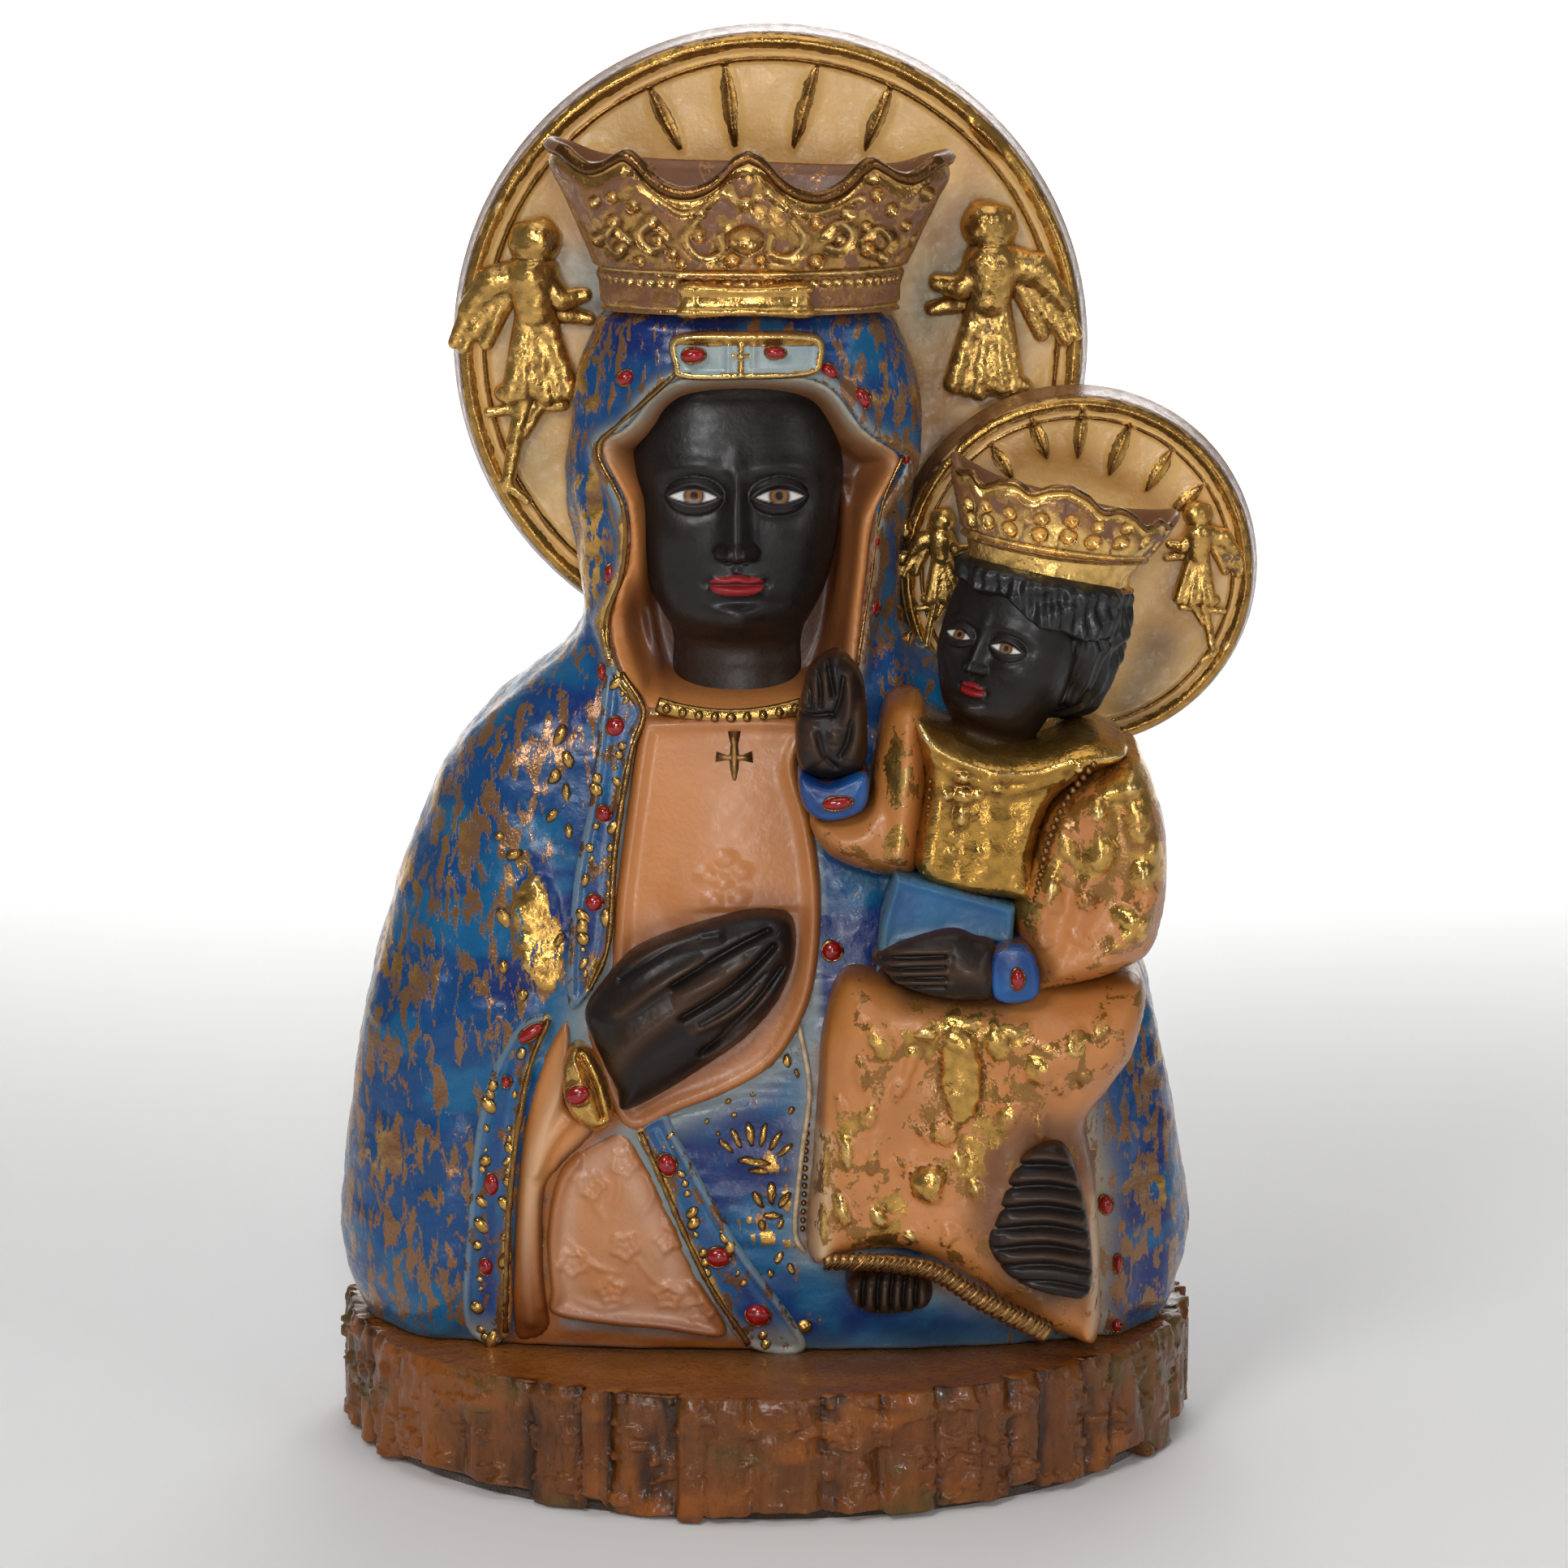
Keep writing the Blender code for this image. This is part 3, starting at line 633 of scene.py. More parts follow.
def leaf_patch(x, z):
    """The large worn leaf beside the front border: 1 inside it, fading out over its ragged edge."""
    u = x + 3.0 * (noise(x, z, 4, 14) - 0.5)
    v = z + 4.0 * (noise(x, z, 4, 15) - 0.5)
    far = np.hypot((u + 46.0 + 0.12 * (v - 115)) / 5.0, (v - 115) / 11.5)
    return ease((1.12 - far) / 0.3)


def field_patch(x, z):
    """The worn leaf among the casts of the lower right field: 1 on it, 0 off it."""
    far = np.hypot((x - 1.0 - 0.22 * (60 - z)) / 7.5, (z - 59) / 15.0)
    broken = ease((noise(x, z, 3.4, 16) - 0.47) / 0.10)
    return broken * ease((1.1 - far) / 0.4)


def cloak_relief(x, z):
    """How far the cloak's front stands out from its plain form."""
    out = 1.3 * (noise(x, z, 17, 3) - 0.5) + 1.1 * (noise(x, z, 5, 4) - 0.5)
    for points, width, height in CLOAK_FOLDS:
        out += ridge(x, z, points, width, height)
    for points in LOWER_GROOVES:
        out -= ridge(x, z, points, 0.55, 0.8)
    patch = leaf_patch(x, z)
    return out + patch * (0.9 + 1.9 * (noise(x, z, 3.6, 6) - 0.4)) + 0.7 * field_patch(x, z)


def mantle_form(x, z):
    left, right, front, back = through(MANTLE_SECTIONS, np.clip(z, 26.7, 242.5))
    across = np.clip(np.abs((x - (left + right) / 2) / ((right - left) / 2)), 0, 0.9995)
    reach = (1 - across**SQUARENESS) ** (1 / SQUARENESS)
    return (front + back) / 2 - (back - front) / 2 * reach


def mantle_front(x, z):
    """Y of the cloak's front, folds included."""
    x, z = np.atleast_1d(np.asarray(x, float)), np.atleast_1d(np.asarray(z, float))
    return mantle_form(x, z) - cloak_relief(x, z)


def veil_recess(depth):
    return 12.5 * ease(depth / 7.5) + 1.2 * ease(depth / 1.5)


def make_cloak():
    top = ((243.8, -27, 20, -24, 11), (244.6, -21, 14, -19, 6))
    grid = loft(MANTLE_SECTIONS + top, 336, 290, SQUARENESS)
    normal = ring_normals(grid)
    rows, count = grid.shape[:2]
    flat, out = grid.reshape(-1, 3), normal.reshape(-1, 3)
    x, y, z = flat.T
    facing = ease((-out[:, 1] - 0.05) / 0.35)
    behind = ease((out[:, 1] - 0.05) / 0.35)
    push = facing * cloak_relief(x, z)
    push += (1 - facing) * (1.6 * (noise(x + y, z, 17, 3) - 0.5) + 1.0 * (noise(x - y, z, 5, 4) - 0.5))
    for bend in (-62, -38, -13, 14, 40, 64):
        line = ((bend * 0.35, 200), (bend * 0.6, 160), (bend * 0.95, 110), (bend, 40), (bend, 20))
        push += behind * ridge(x, z, line, 6.0, 2.8)
        push -= behind * ridge(x + 11, z, line, 4.0, 1.6)
    depth = inside(x, z, VEIL_RING)
    depth = np.where(facing > 0, depth, -9)
    push += facing * 1.5 * bell(depth + 1.2, 1.5) * ease((z - 163) / 6)
    flat = flat + out * push[:, None]
    flat[:, 1] += np.where(depth > 0, veil_recess(depth) + 1.0, 0)

    # Paint: three blues, fading out beside the dress, the veil and the base
    shade = noise(x + 0.6 * y, z, 22, 11)
    colour = mix(BLUE, DEEP_BLUE, ease((shade - 0.45) * 5) * 0.85)
    colour = mix(colour, SKY_BLUE, ease((noise(x, z + 40, 11, 12) - 0.52) * 6) * 0.7)
    dress = np.minimum(to_line(x, z, DRESS_RING, True)[0], to_line(x, z, SKIRT_RING, True)[0])
    front = facing * (x < 12)
    pale = (0.30, 0.36, 0.34)
    colour = mix(colour, pale, front * 0.75 * bell(dress, 4.5))
    colour = mix(colour, (0.30, 0.32, 0.27), facing * 0.85 * bell(depth, 2.3) * (depth < 0))
    colour = mix(colour, AMBER, facing * 0.75 * bell(depth + 0.2, 1.3) * ease((205 - z) / 14))
    child_edge = to_line(x, z, ((12, 92), (9, 50), (24, 46), (50, 36), (70, 28)))[0]
    colour = mix(colour, pale, facing * 0.8 * bell(child_edge, 4.0))
    colour = mix(colour, AMBER, facing * 0.55 * bell(child_edge, 1.8))
    foot = to_line(x, z, ((-95, 25), (95, 25)))[0]
    colour = mix(colour, (0.10, 0.20, 0.19), 0.55 * bell(foot, 5))
    colour = mix(colour, AMBER, 0.8 * bell(foot, 1.6))
    below = bell(to_line(x, z, ((-52, 27), (-44, 29), (-22, 28), (-5, 27.5)))[0], 3.2)
    colour = mix(colour, (0.26, 0.075, 0.010), facing * below)
    seam = to_line(x, z, ((-24, 80), (-31, 79), (-36, 75), (-43, 69), (-46, 60), (-46, 30)))[0]
    colour = mix(colour, (0.34, 0.115, 0.026), facing * np.clip(1.5 * bell(seam, 3.2), 0, 1))
    near_hand = to_line(x, z, ((67, 78), (70, 60), (70, 30)))[0]
    colour = mix(colour, (0.40, 0.33, 0.22), facing * 0.9 * bell(near_hand, 3.6))

    # Gold: dry-brushed over the shoulders, the sides and the hood, and solid on the casts
    gold = 0.34 + 0.16 * (noise(x, z, 24, 21) - 0.5) + 0.30 * (noise(x, z, 5, 4) - 0.5)
    gold += 0.14 * ease((-x - 58) / 26) + 0.14 * ease((x - 62) / 20)
    gold += 0.10 * bell(to_line(x, z, ((-60, 150), (-75, 110)))[0], 12)
    gold += 0.24 * ease((z - 168) / 14) * ease((-x - 30) / 5) + 0.14 * ease((z - 168) / 10) * (x > 20)
    gold += 0.26 * bell(to_line(x, z, ((-49, 126), (-46, 106)))[0], 5)
    gold += 0.10 * bell(to_line(x, z, ((-42, 156), (-42, 132)))[0], 4)
    gold -= 0.30 * facing * ease((x + 47) / 4) * ease((52 - x) / 5) * ease((150 - z) / 6)
    gold -= 0.20 * bell(foot, 4)
    gold = np.maximum(gold, facing * 0.8 * leaf_patch(x, z))
    gold = np.maximum(gold, facing * 0.75 * field_patch(x, z))
    rim = (depth < 0.2) & (depth > -1.7) & (facing > 0.3)
    gold = np.where(rim & (z < 200) & (x < -5), gold * 0 + 0.62, gold)
    cover = np.where(depth > 0.2, 0, gold)
    # `flat` grew a recess where the veil opens; the lining stands in front of it.
    cloth = painted_material("mantle_paint", 0.28, 0.06, (230, 1.9, 0.62), -0.5, 1.0, (0.25, 0.125, 0.055), 0.35)
    build("mantle_cloak", flat, tube_faces(rows, count), cloth, "blue_paint", ("mantle",),
          paint=colour, gold=cover)


def make_veil():
    def front(x, z, depth):
        out = mantle_form(x, z) + veil_recess(depth) - 0.4
        for points, width, height in (
            (((-27, 204), (-25.5, 190), (-24, 176), (-21, 163)), 1.5, 2.2),
            (((-30, 188), (-28.5, 176), (-25, 164)), 1.5, 1.8),
            (((17, 206), (16.5, 192), (14.5, 176), (10, 163)), 1.4, 2.2),
            (((20.5, 200), (19.2, 186), (16, 168)), 1.3, 1.6),
            (((26, 211), (20, 213), (17, 216)), 1.6, 1.4),
            (((-31, 214), (-26, 216), (-22, 220)), 1.6, 1.2),
        ):
            out -= ridge(x, z, points, width, height)
        return out

    points, faces, depth = relief(VEIL_OPENING, front, -8.0, 0.8, 0.9)
    x, y, z = points.T
    colour = mix(PEACH, (0.45, 0.30, 0.17), ease((z - 206) / 14))
    colour = mix(colour, (0.34, 0.36, 0.32), 0.8 * ease((z - 214) / 10) * bell(depth, 2.4))
    # Painted shade: the lining darkens deeper into the recess towards the face.
    colour = mix(colour, (0.22, 0.072, 0.020), 0.85 * ease((depth - 0.8) / 3.2))
    colour = mix(colour, (0.075, 0.020, 0.006), 0.95 * ease((depth - 4.0) / 4.0))
    colour = mix(colour, PEACH, 0.45 * ease((176 - z) / 12) * bell(depth - 2.0, 2.2))
    # More painted shade on the lining's +X side.
    colour = mix(colour, (0.11, 0.034, 0.010), 0.7 * ease((x - 4) / 8) * ease((214 - z) / 8) * ease((depth - 0.6) / 2.0))
    cloth = painted_material("veil_paint", 0.40, 0.2)
    build("veil_inside", points, faces, cloth, "peach_resin", ("veil_lining",),
          paint=colour, gold=np.zeros(len(x)))
    # The gilt edge, down the figure's right side and a little up its left
    line = respace(curve(((-25, 161.5), (-30.5, 167), (-32.8, 178), (-29.2, 190), (-29, 203),
                          (-34.2, 214.5), (-29, 221), (-18, 231.2))), 1.0)
    line_b = respace(curve(((29, 213), (24.5, 202.5), (22.4, 188), (19.6, 170))), 1.0)
    parts = []
    for some, thick in ((line, 0.62), (line_b, 0.42)):
        y = mantle_front(*some.T) - 1.1
        width = thick * (0.75 + 0.5 * noise(some[:, 0], some[:, 1], 5, 8))
        parts.append(strand(np.stack([some[:, 0], y, some[:, 1]], 1), width))
    points, faces = merge(parts)
    build("veil_gilt_edge", points, faces, leaf_gold, "gold_paint")


def make_casts():
    """The gold fan, the fleur, the sprigs and the crumbs of gold on the cloak."""
    parts = []
    for (x, z), (wide, high), rise, turn in CLOAK_LUMPS + FIELD_LEAVES:
        y = float(mantle_front(x, z)[0])
        parts.append(stud((x, y, z), (wide, rise, high), turn, 16, 8))
    points, faces = merge(parts)
    points += (0.9 * (noise(points[:, 0], points[:, 2], 1.6, 57) - 0.5))[:, None] * (1, -1, 1)
    build("cloak_casts", points, faces, leaf_gold, "gold_paint")


# Panels of the dress and the borders --------------------------------------------------------


def make_dress():
    flower = ((-8.5, 127), (-4.5, 129), (-5, 124), (-10.5, 123.5), (-12, 128.5), (-7.5, 131.5))

    def front(x, z, depth):
        out = mantle_form(x, z) - 0.8 - 1.2 * bell(depth - 1.6, 1.5) - 2.8 * bell(x + 10, 20) * bell(z - 122, 45)
        for centre in flower:
            out -= dome(x, z, centre, (2.2, 1.8), 0.45)
        out += ridge(x, z, ((-21, 121), (-16, 113), (-10, 109)), 3.2, 0.5)
        out += 0.9 * bell(to_line(x, z, PRAYING_RING, True)[0], 3.0) * (z < 121)
        return out - 0.25 * (noise(x, z, 14, 31) - 0.5)

    points, faces, depth = relief(DRESS, front, -22.0, 0.8, 1.4)
    x, y, z = points.T
    colour = mix(PEACH, (0.52, 0.20, 0.06), noise(x, z, 25, 32) * 0.8)
    colour = mix(colour, PEACH_SHADE, 0.55 * bell(depth, 2.0) * (x < -8))
    colour = mix(colour, AMBER, 0.40 * bell(depth, 4.5) * (x > 0) + 0.5 * bell(depth, 1.2))
    # Painted shade round the praying hand, darkest at its edge.
    hand = to_line(x, z, PRAYING_RING, True)[0]
    colour = mix(colour, (0.10, 0.030, 0.010), 0.85 * bell(hand, 3.0))
    colour = mix(colour, (0.45, 0.16, 0.05), 0.55 * bell(hand, 8.0))
    cloth = painted_material("dress_paint", 0.36, 0.25)
    build("dress_front_panel", points, faces, cloth, "peach_resin", ("dress_front",),
          paint=colour, gold=0.25 * bell(depth, 0.7) * (x < -20) + 0.05)


def make_skirt():
    stems = (
        ((-41, 66), (-36, 60), (-33, 55)), ((-33, 70), (-30, 64), (-31, 58)),
        ((-42, 52), (-36, 46), (-30, 44)), ((-27, 48), (-22, 42), (-15, 40)),
        ((-40, 38), (-33, 36), (-27, 38)), ((-20, 58), (-19, 52), (-22, 47)),
        ((-24, 66), (-23, 61), (-26, 56)), ((-17, 36), (-14, 38), (-11, 34)),
    )
    flowers = ((-36, 63), (-29, 50), (-40, 46), (-20, 52), (-32, 40), (-20, 39), (-13, 36), (-29, 68))

    def front(x, z, depth):
        out = mantle_form(x, z) - 0.2 - 1.7 * bell(depth - 1.5, 1.5) * ((z < 42) | (x < -38))
        out -= 0.8 * bell(x + 28, 14) * bell(z - 50, 22)
        for stem in stems:
            out -= ridge(x, z, stem, 0.6, 0.55, True)
        for k, centre in enumerate(flowers):
            far = np.hypot(x - centre[0], z - centre[1])
            petal = np.arctan2(z - centre[1], x - centre[0]) * 5 + k
            out -= 0.8 * bell(far - 2.2 - 0.5 * np.cos(petal), 0.7) + 0.7 * bell(far, 0.8)
        return out - 0.3 * (noise(x, z, 6, 33) - 0.5)

    points, faces, depth = relief(SKIRT, front, -24.0, 0.7, 1.6)
    x, y, z = points.T
    colour = mix(PEACH, (0.50, 0.24, 0.13), noise(x, z, 12, 34))
    colour = mix(colour, PEACH_SHADE, 0.65 * bell(depth, 2.4) + 0.75 * bell(z - 30, 7))
    colour = mix(colour, AMBER, 0.8 * bell(depth, 1.0))
    colour = mix(colour, (0.58, 0.34, 0.22), 0.6 * bell(depth - 4.5, 2.0))
    cloth = painted_material("skirt_paint", 0.34, 0.25)
    build("dress_skirt_panel", points, faces, cloth, "peach_resin", ("dress_skirt",),
          paint=colour, gold=0.04 + 0 * x)


def make_sleeve_lining():
    folds = (
        (((-39, 94), (-43, 82), (-48, 68), (-49.5, 50), (-49, 33)), 2.0, 2.4),
        (((-37, 80), (-43, 74), (-47, 66)), 1.4, 1.4),
        (((-47, 62), (-47.4, 48), (-46.5, 36)), 0.8, 0.9),
    )

    def front(x, z, depth):
        out = mantle_form(x, z) - 0.8
        for fold in folds:
            out -= ridge(x, z, *fold)
        return out - 0.3 * (noise(x, z, 9, 35) - 0.5)

    points, faces, depth = relief(SLEEVE_LINING, front, -24.0, 0.7, 1.2)
    x, y, z = points.T
    colour = mix(PEACH, (0.66, 0.40, 0.22), bell(to_line(x, z, folds[0][0])[0], 2.2) * 0.8)
    colour = mix(colour, AMBER, 0.75 * bell(depth, 1.6))
    colour = mix(colour, (0.24, 0.060, 0.006), 0.85 * ease((62 - z) / 26))
    colour = mix(colour, (0.13, 0.030, 0.004), 0.8 * ease((40 - z) / 10) + 0.4 * bell(depth, 1.0))
    seam = to_line(x, z, ((-35, 75), (-42, 68), (-45.6, 60), (-45.8, 40)))[0]
    colour = mix(colour, (0.12, 0.035, 0.01), 0.7 * bell(seam, 1.0))
    cloth = painted_material("lining_paint", 0.36, 0.25)
    build("sleeve_lining_panel", points, faces, cloth, "peach_resin", ("sleeve_lining",),
          paint=colour, gold=0.06 + 0 * x)


BORDERS = (
    # Name, which is also the node's, outline, stand and the dress side's line
    ("front_border", FRONT_BORDER, 2.0,
     ((-29.4, 168.5), (-24.9, 161), (-27.6, 152), (-30.8, 133), (-32.2, 114), (-36, 104.5))),
    ("sleeve_border", SLEEVE_BORDER, 2.0,
     ((-44.6, 98), (-48.6, 88), (-51.4, 74), (-53.4, 55), (-54.4, 30))),
    ("lower_border", LOWER_BORDER, 1.7, ((-25.6, 75), (-22.2, 67), (-12.3, 44), (-3.2, 28.5))),
)


def make_borders():
    parts = []
    for seed, (name, outline, stand, edge) in enumerate(BORDERS):
        ring = respace(curve(outline, True), 1.2, True)

        def front(x, z, depth):
            out = mantle_form(x, z) - stand + 0.35 * bell(depth - 2.2, 0.8)
            out -= 0.5 * bell(depth - 1.0, 0.7)
            return out - 0.5 * (noise(x, z, 5, 40 + seed) - 0.5)

        points, faces, depth = relief(outline, front, -24.0, 0.7, 0.9)
        x, y, z = points.T
        colour = mix(BLUE, DEEP_BLUE, ease((noise(x, z, 10, 44 + seed) - 0.4) * 4) * 0.9)
        colour = mix(colour, (0.24, 0.34, 0.37), 0.75 * bell(depth, 1.3))
        colour = mix(colour, SKY_BLUE, 0.5 * bell(depth - 2.5, 1.2))
        colour = mix(colour, (0.36, 0.30, 0.18), 0.6 * ease((36 - z) / 8))
        near_edge = to_line(x, z, edge)[0]
        colour = mix(colour, AMBER, 0.7 * bell(near_edge, 0.9))
        gold = 0.30 + 0.30 * bell(near_edge, 1.6) + 0.14 * bell(depth, 0.8)
        gold += 0.40 * (noise(x, z, 5, 48 + seed) - 0.5)
        build(name + "_band", points, faces, border_paint, "blue_paint", (name,),
              paint=colour, gold=gold)
        line = respace(curve(edge), 0.8)
        far = mantle_form(*line.T) - stand - 0.35
        thick = 0.38 + 0.5 * noise(line[:, 0] * 1.7, line[:, 1] * 1.7, 3, 50 + seed)
        parts.append(strand(np.stack([line[:, 0], far, line[:, 1]], 1), thick))
        # Studs along the band's middle, uneven as on the casting
        random = np.random.default_rng(60 + seed)
        inner = ring[inside(ring[:, 0], ring[:, 1], ring) > -1]
        middle = inner.mean(0)
        for corner in inner[::2]:
            spot = corner + (middle - corner) * [0.45, 0.02] + random.normal(0, 0.25, 2)
            if inside(spot[:1], spot[1:], ring)[0] < 0.8:
                continue
            jewel = min(math.dist(spot, j[:2]) for j in JEWELS)
            if jewel < 3.0 or random.random() < 0.25:
                continue
            size = random.uniform(0.4, 1.4)
            y = float(mantle_form(*spot[:, None])[0]) - stand
            radii = (size, size * 0.5, size * random.uniform(0.9, 1.9))
            parts.append(stud((spot[0], y, spot[1]), radii, random.uniform(-50, 50)))
    # The hood's edge on the figure's right side carries on as a thin gold line over the sleeve
    points, faces = merge(parts)
    build("border_gilding", points, faces, leaf_gold, "gold_paint")


# Jewels: x, z, half width, half height, turn; their depth comes from what they sit on
JEWELS = (
    (-30.7, 157.7, 1.9, 2.1, 25), (-33.1, 140.2, 1.5, 1.7, 0), (-35.1, 122.1, 1.7, 1.8, 0),
    (-48.3, 95.1, 3.0, 1.3, -35), (-53.5, 84.6, 0.9, 1.2, 0), (-56.8, 62.5, 1.5, 2.4, 0),
    (-58.2, 44.5, 1.5, 1.8, 0), (-20.0, 68.0, 1.8, 2.4, -20), (-9.4, 48.2, 2.4, 2.1, 0),
    (-1.2, 35.2, 2.6, 2.3, 20), (-14.2, 82.9, 2.1, 1.8, 0), (0.2, 89.9, 2.0, 1.9, 0),
    (14.3, 112.3, 2.0, 2.0, 0), (72.1, 56.5, 1.4, 2.0, -10), (74.9, 43.4, 0.9, 2.0, 0),
    (74.9, 28.9, 0.9, 1.6, 0), (-28.3, 229.9, 1.8, 1.4, -30), (13.6, 231.5, 1.9, 1.3, 40),
    (20.5, 225.8, 1.5, 2.2, -25), (29.8, 213.4, 1.0, 2.2, 0), (-31.9, 188.5, 1.2, 2.0, 10),
    (-33.6, 167.9, 0.9, 1.7, 0), (22.9, 181.2, 1.3, 2.2, 10), (23.6, 195.7, 0.9, 1.7, 0),
)


def make_jewels():
    stones, rims = [], []
    placed = [(x, float(mantle_front(x, z)[0]) - 0.5, z, *rest) for x, z, *rest in JEWELS]
    for k, row in enumerate(placed):
        if k < 10:
            placed[k] = (row[0], row[1] - 1.6, *row[2:])
    placed += [(-14.2, -34.9, 235.4, 2.4, 1.5, -6), (2.5, -34.9, 236.0, 2.1, 1.2, 4),
               (-38.3, -51.8, 84.1, 2.5, 2.0, -30), (15.2, -57.2, 146.6, 3.0, 1.3, -8),
               (51.8, -63.6, 111.4, 1.3, 2.2, 0)]
    for x, y, z, wide, high, turn in placed:
        stones.append(stud((x, y, z), (wide, 1.25, high), turn, 18, 8))
        around = np.linspace(0, 2 * math.pi, 17)[:-1]
        c, s = math.cos(math.radians(turn)), math.sin(math.radians(turn))
        u, v = (wide + 0.15) * np.cos(around), (high + 0.15) * np.sin(around)
        line = np.stack([x + c * u + s * v, np.full(16, y + 0.15), z + c * v - s * u], 1)
        line = np.vstack([line, line[:1]])
        rims.append(strand(line, 0.24 + 0.10 * np.cos(3 * np.linspace(0, 6.28, 17)), 6))
    points, faces = merge(stones)
    build("red_jewels", points, faces, glossy_paint("jewel_red", RED, 0.16, 0.5), "red_paint")
    points, faces = merge(rims)
    build("jewel_settings", points, faces, leaf_gold, "gold_paint")


# The crown ----------------------------------------------------------------------------------

CROWN_CENTRE = (-2.8, -14.5, 243.2)
# Height of the rim by angle from the front, in degrees
CROWN_RIM = (
    (0, 31.6), (4, 30.2), (9, 26.4), (16, 23.9), (22, 24.0), (28, 26.2), (33, 29.4), (37, 30.8), (41, 29.8),
    (46, 28.2), (52, 27.6), (58, 28.6), (66, 30.6), (76, 31.3), (104, 31.3), (116, 30.2), (130, 28.0),
    (150, 26.8), (180, 26.6),
)
CROWN_DOMES = (
    (-7.8, 268.4), (1.0, 268.4), (-3.4, 266.2), (-12.6, 264.2), (6.8, 264.4), (-22.8, 262.4), (17.4, 264.0),
    (-31.0, 267.0), (29.4, 261.0), (-30.6, 262.0), (-6.2, 254.6), (-0.4, 254.6), (-18.6, 255.8), (-13.2, 259.6),
    (-26.6, 265.6), (-21.6, 258.4), (-34.2, 258.0), (13.6, 266.2), (11.0, 262.2), (21.4, 261.0), (26.4, 264.4),
    (23.4, 267.6), (16.2, 258.4), (-16.8, 253.6), (11.0, 254.2), (-29.4, 256.4), (31.4, 257.6), (-34.5, 266.0),
    (34.0, 267.2), (-3.4, 273.2), (-27.8, 272.6), (22.6, 271.0), (21.6, 256.4), (-25.6, 253.8), (25.0, 254.4),
)
CROWN_CURLS = (
    ((-13.5, 262.5), (-15.8, 258.6), (-12.8, 255.0), (-8.5, 256.0), (-8.8, 259.5)),
    ((6.2, 262.5), (8.6, 258.6), (5.6, 255.0), (1.5, 256.0), (1.8, 259.5)),
    ((-3.6, 275.5), (-6.6, 270.0), (-3.6, 265.5), (-0.6, 270.0), (-3.6, 275.5)),
    ((12.5, 259.5), (15.5, 262), (18.5, 259.5), (16.5, 256.5), (13.5, 257.0)),
    ((20.5, 258.0), (24.0, 260.5), (27.0, 257.5), (24.5, 255.0), (21.5, 256.0)),
    ((-19.5, 259.5), (-22.5, 262), (-25.5, 259.5), (-23.5, 256.5), (-20.5, 257.0)),
    ((-27.5, 258.0), (-31.0, 260.5), (-33.0, 257.5), (-31, 255.0), (-28.5, 256.0)),
    ((-10, 267.5), (-16, 264.0), (-21, 266.5), (-25, 269.5)),
    ((3, 267.5), (9, 264.0), (14, 264.5), (20, 267.0)),
    ((-11.5, 265.5), (-8, 268.0), (-3.6, 266.5), (0.8, 268.0), (4.4, 265.5)),
)


def crown_relief(x, z, share, rim_gap):
    """Ornament on a crown's front in (x, z): a roll under the rim, the domes and the curls."""
    out = 1.2 * bell(rim_gap - 1.0, 1.2) + 1.6 * (noise(x, z, 3.4, 71) - 0.5)
    for k, spot in enumerate(CROWN_DOMES):
        size = 1.05 + 0.45 * math.sin(2.3 * k) ** 2
        out = np.maximum(out, dome(x, z, spot, (size, size * 1.1), 1.8))
    for curl in CROWN_CURLS:
        out = np.maximum(out, ridge(x, z, curl, 0.8, 1.1))
    out = np.maximum(out, dome(x, z, (-3.6, 258.8), (3.9, 3.0), 2.2))
    return out


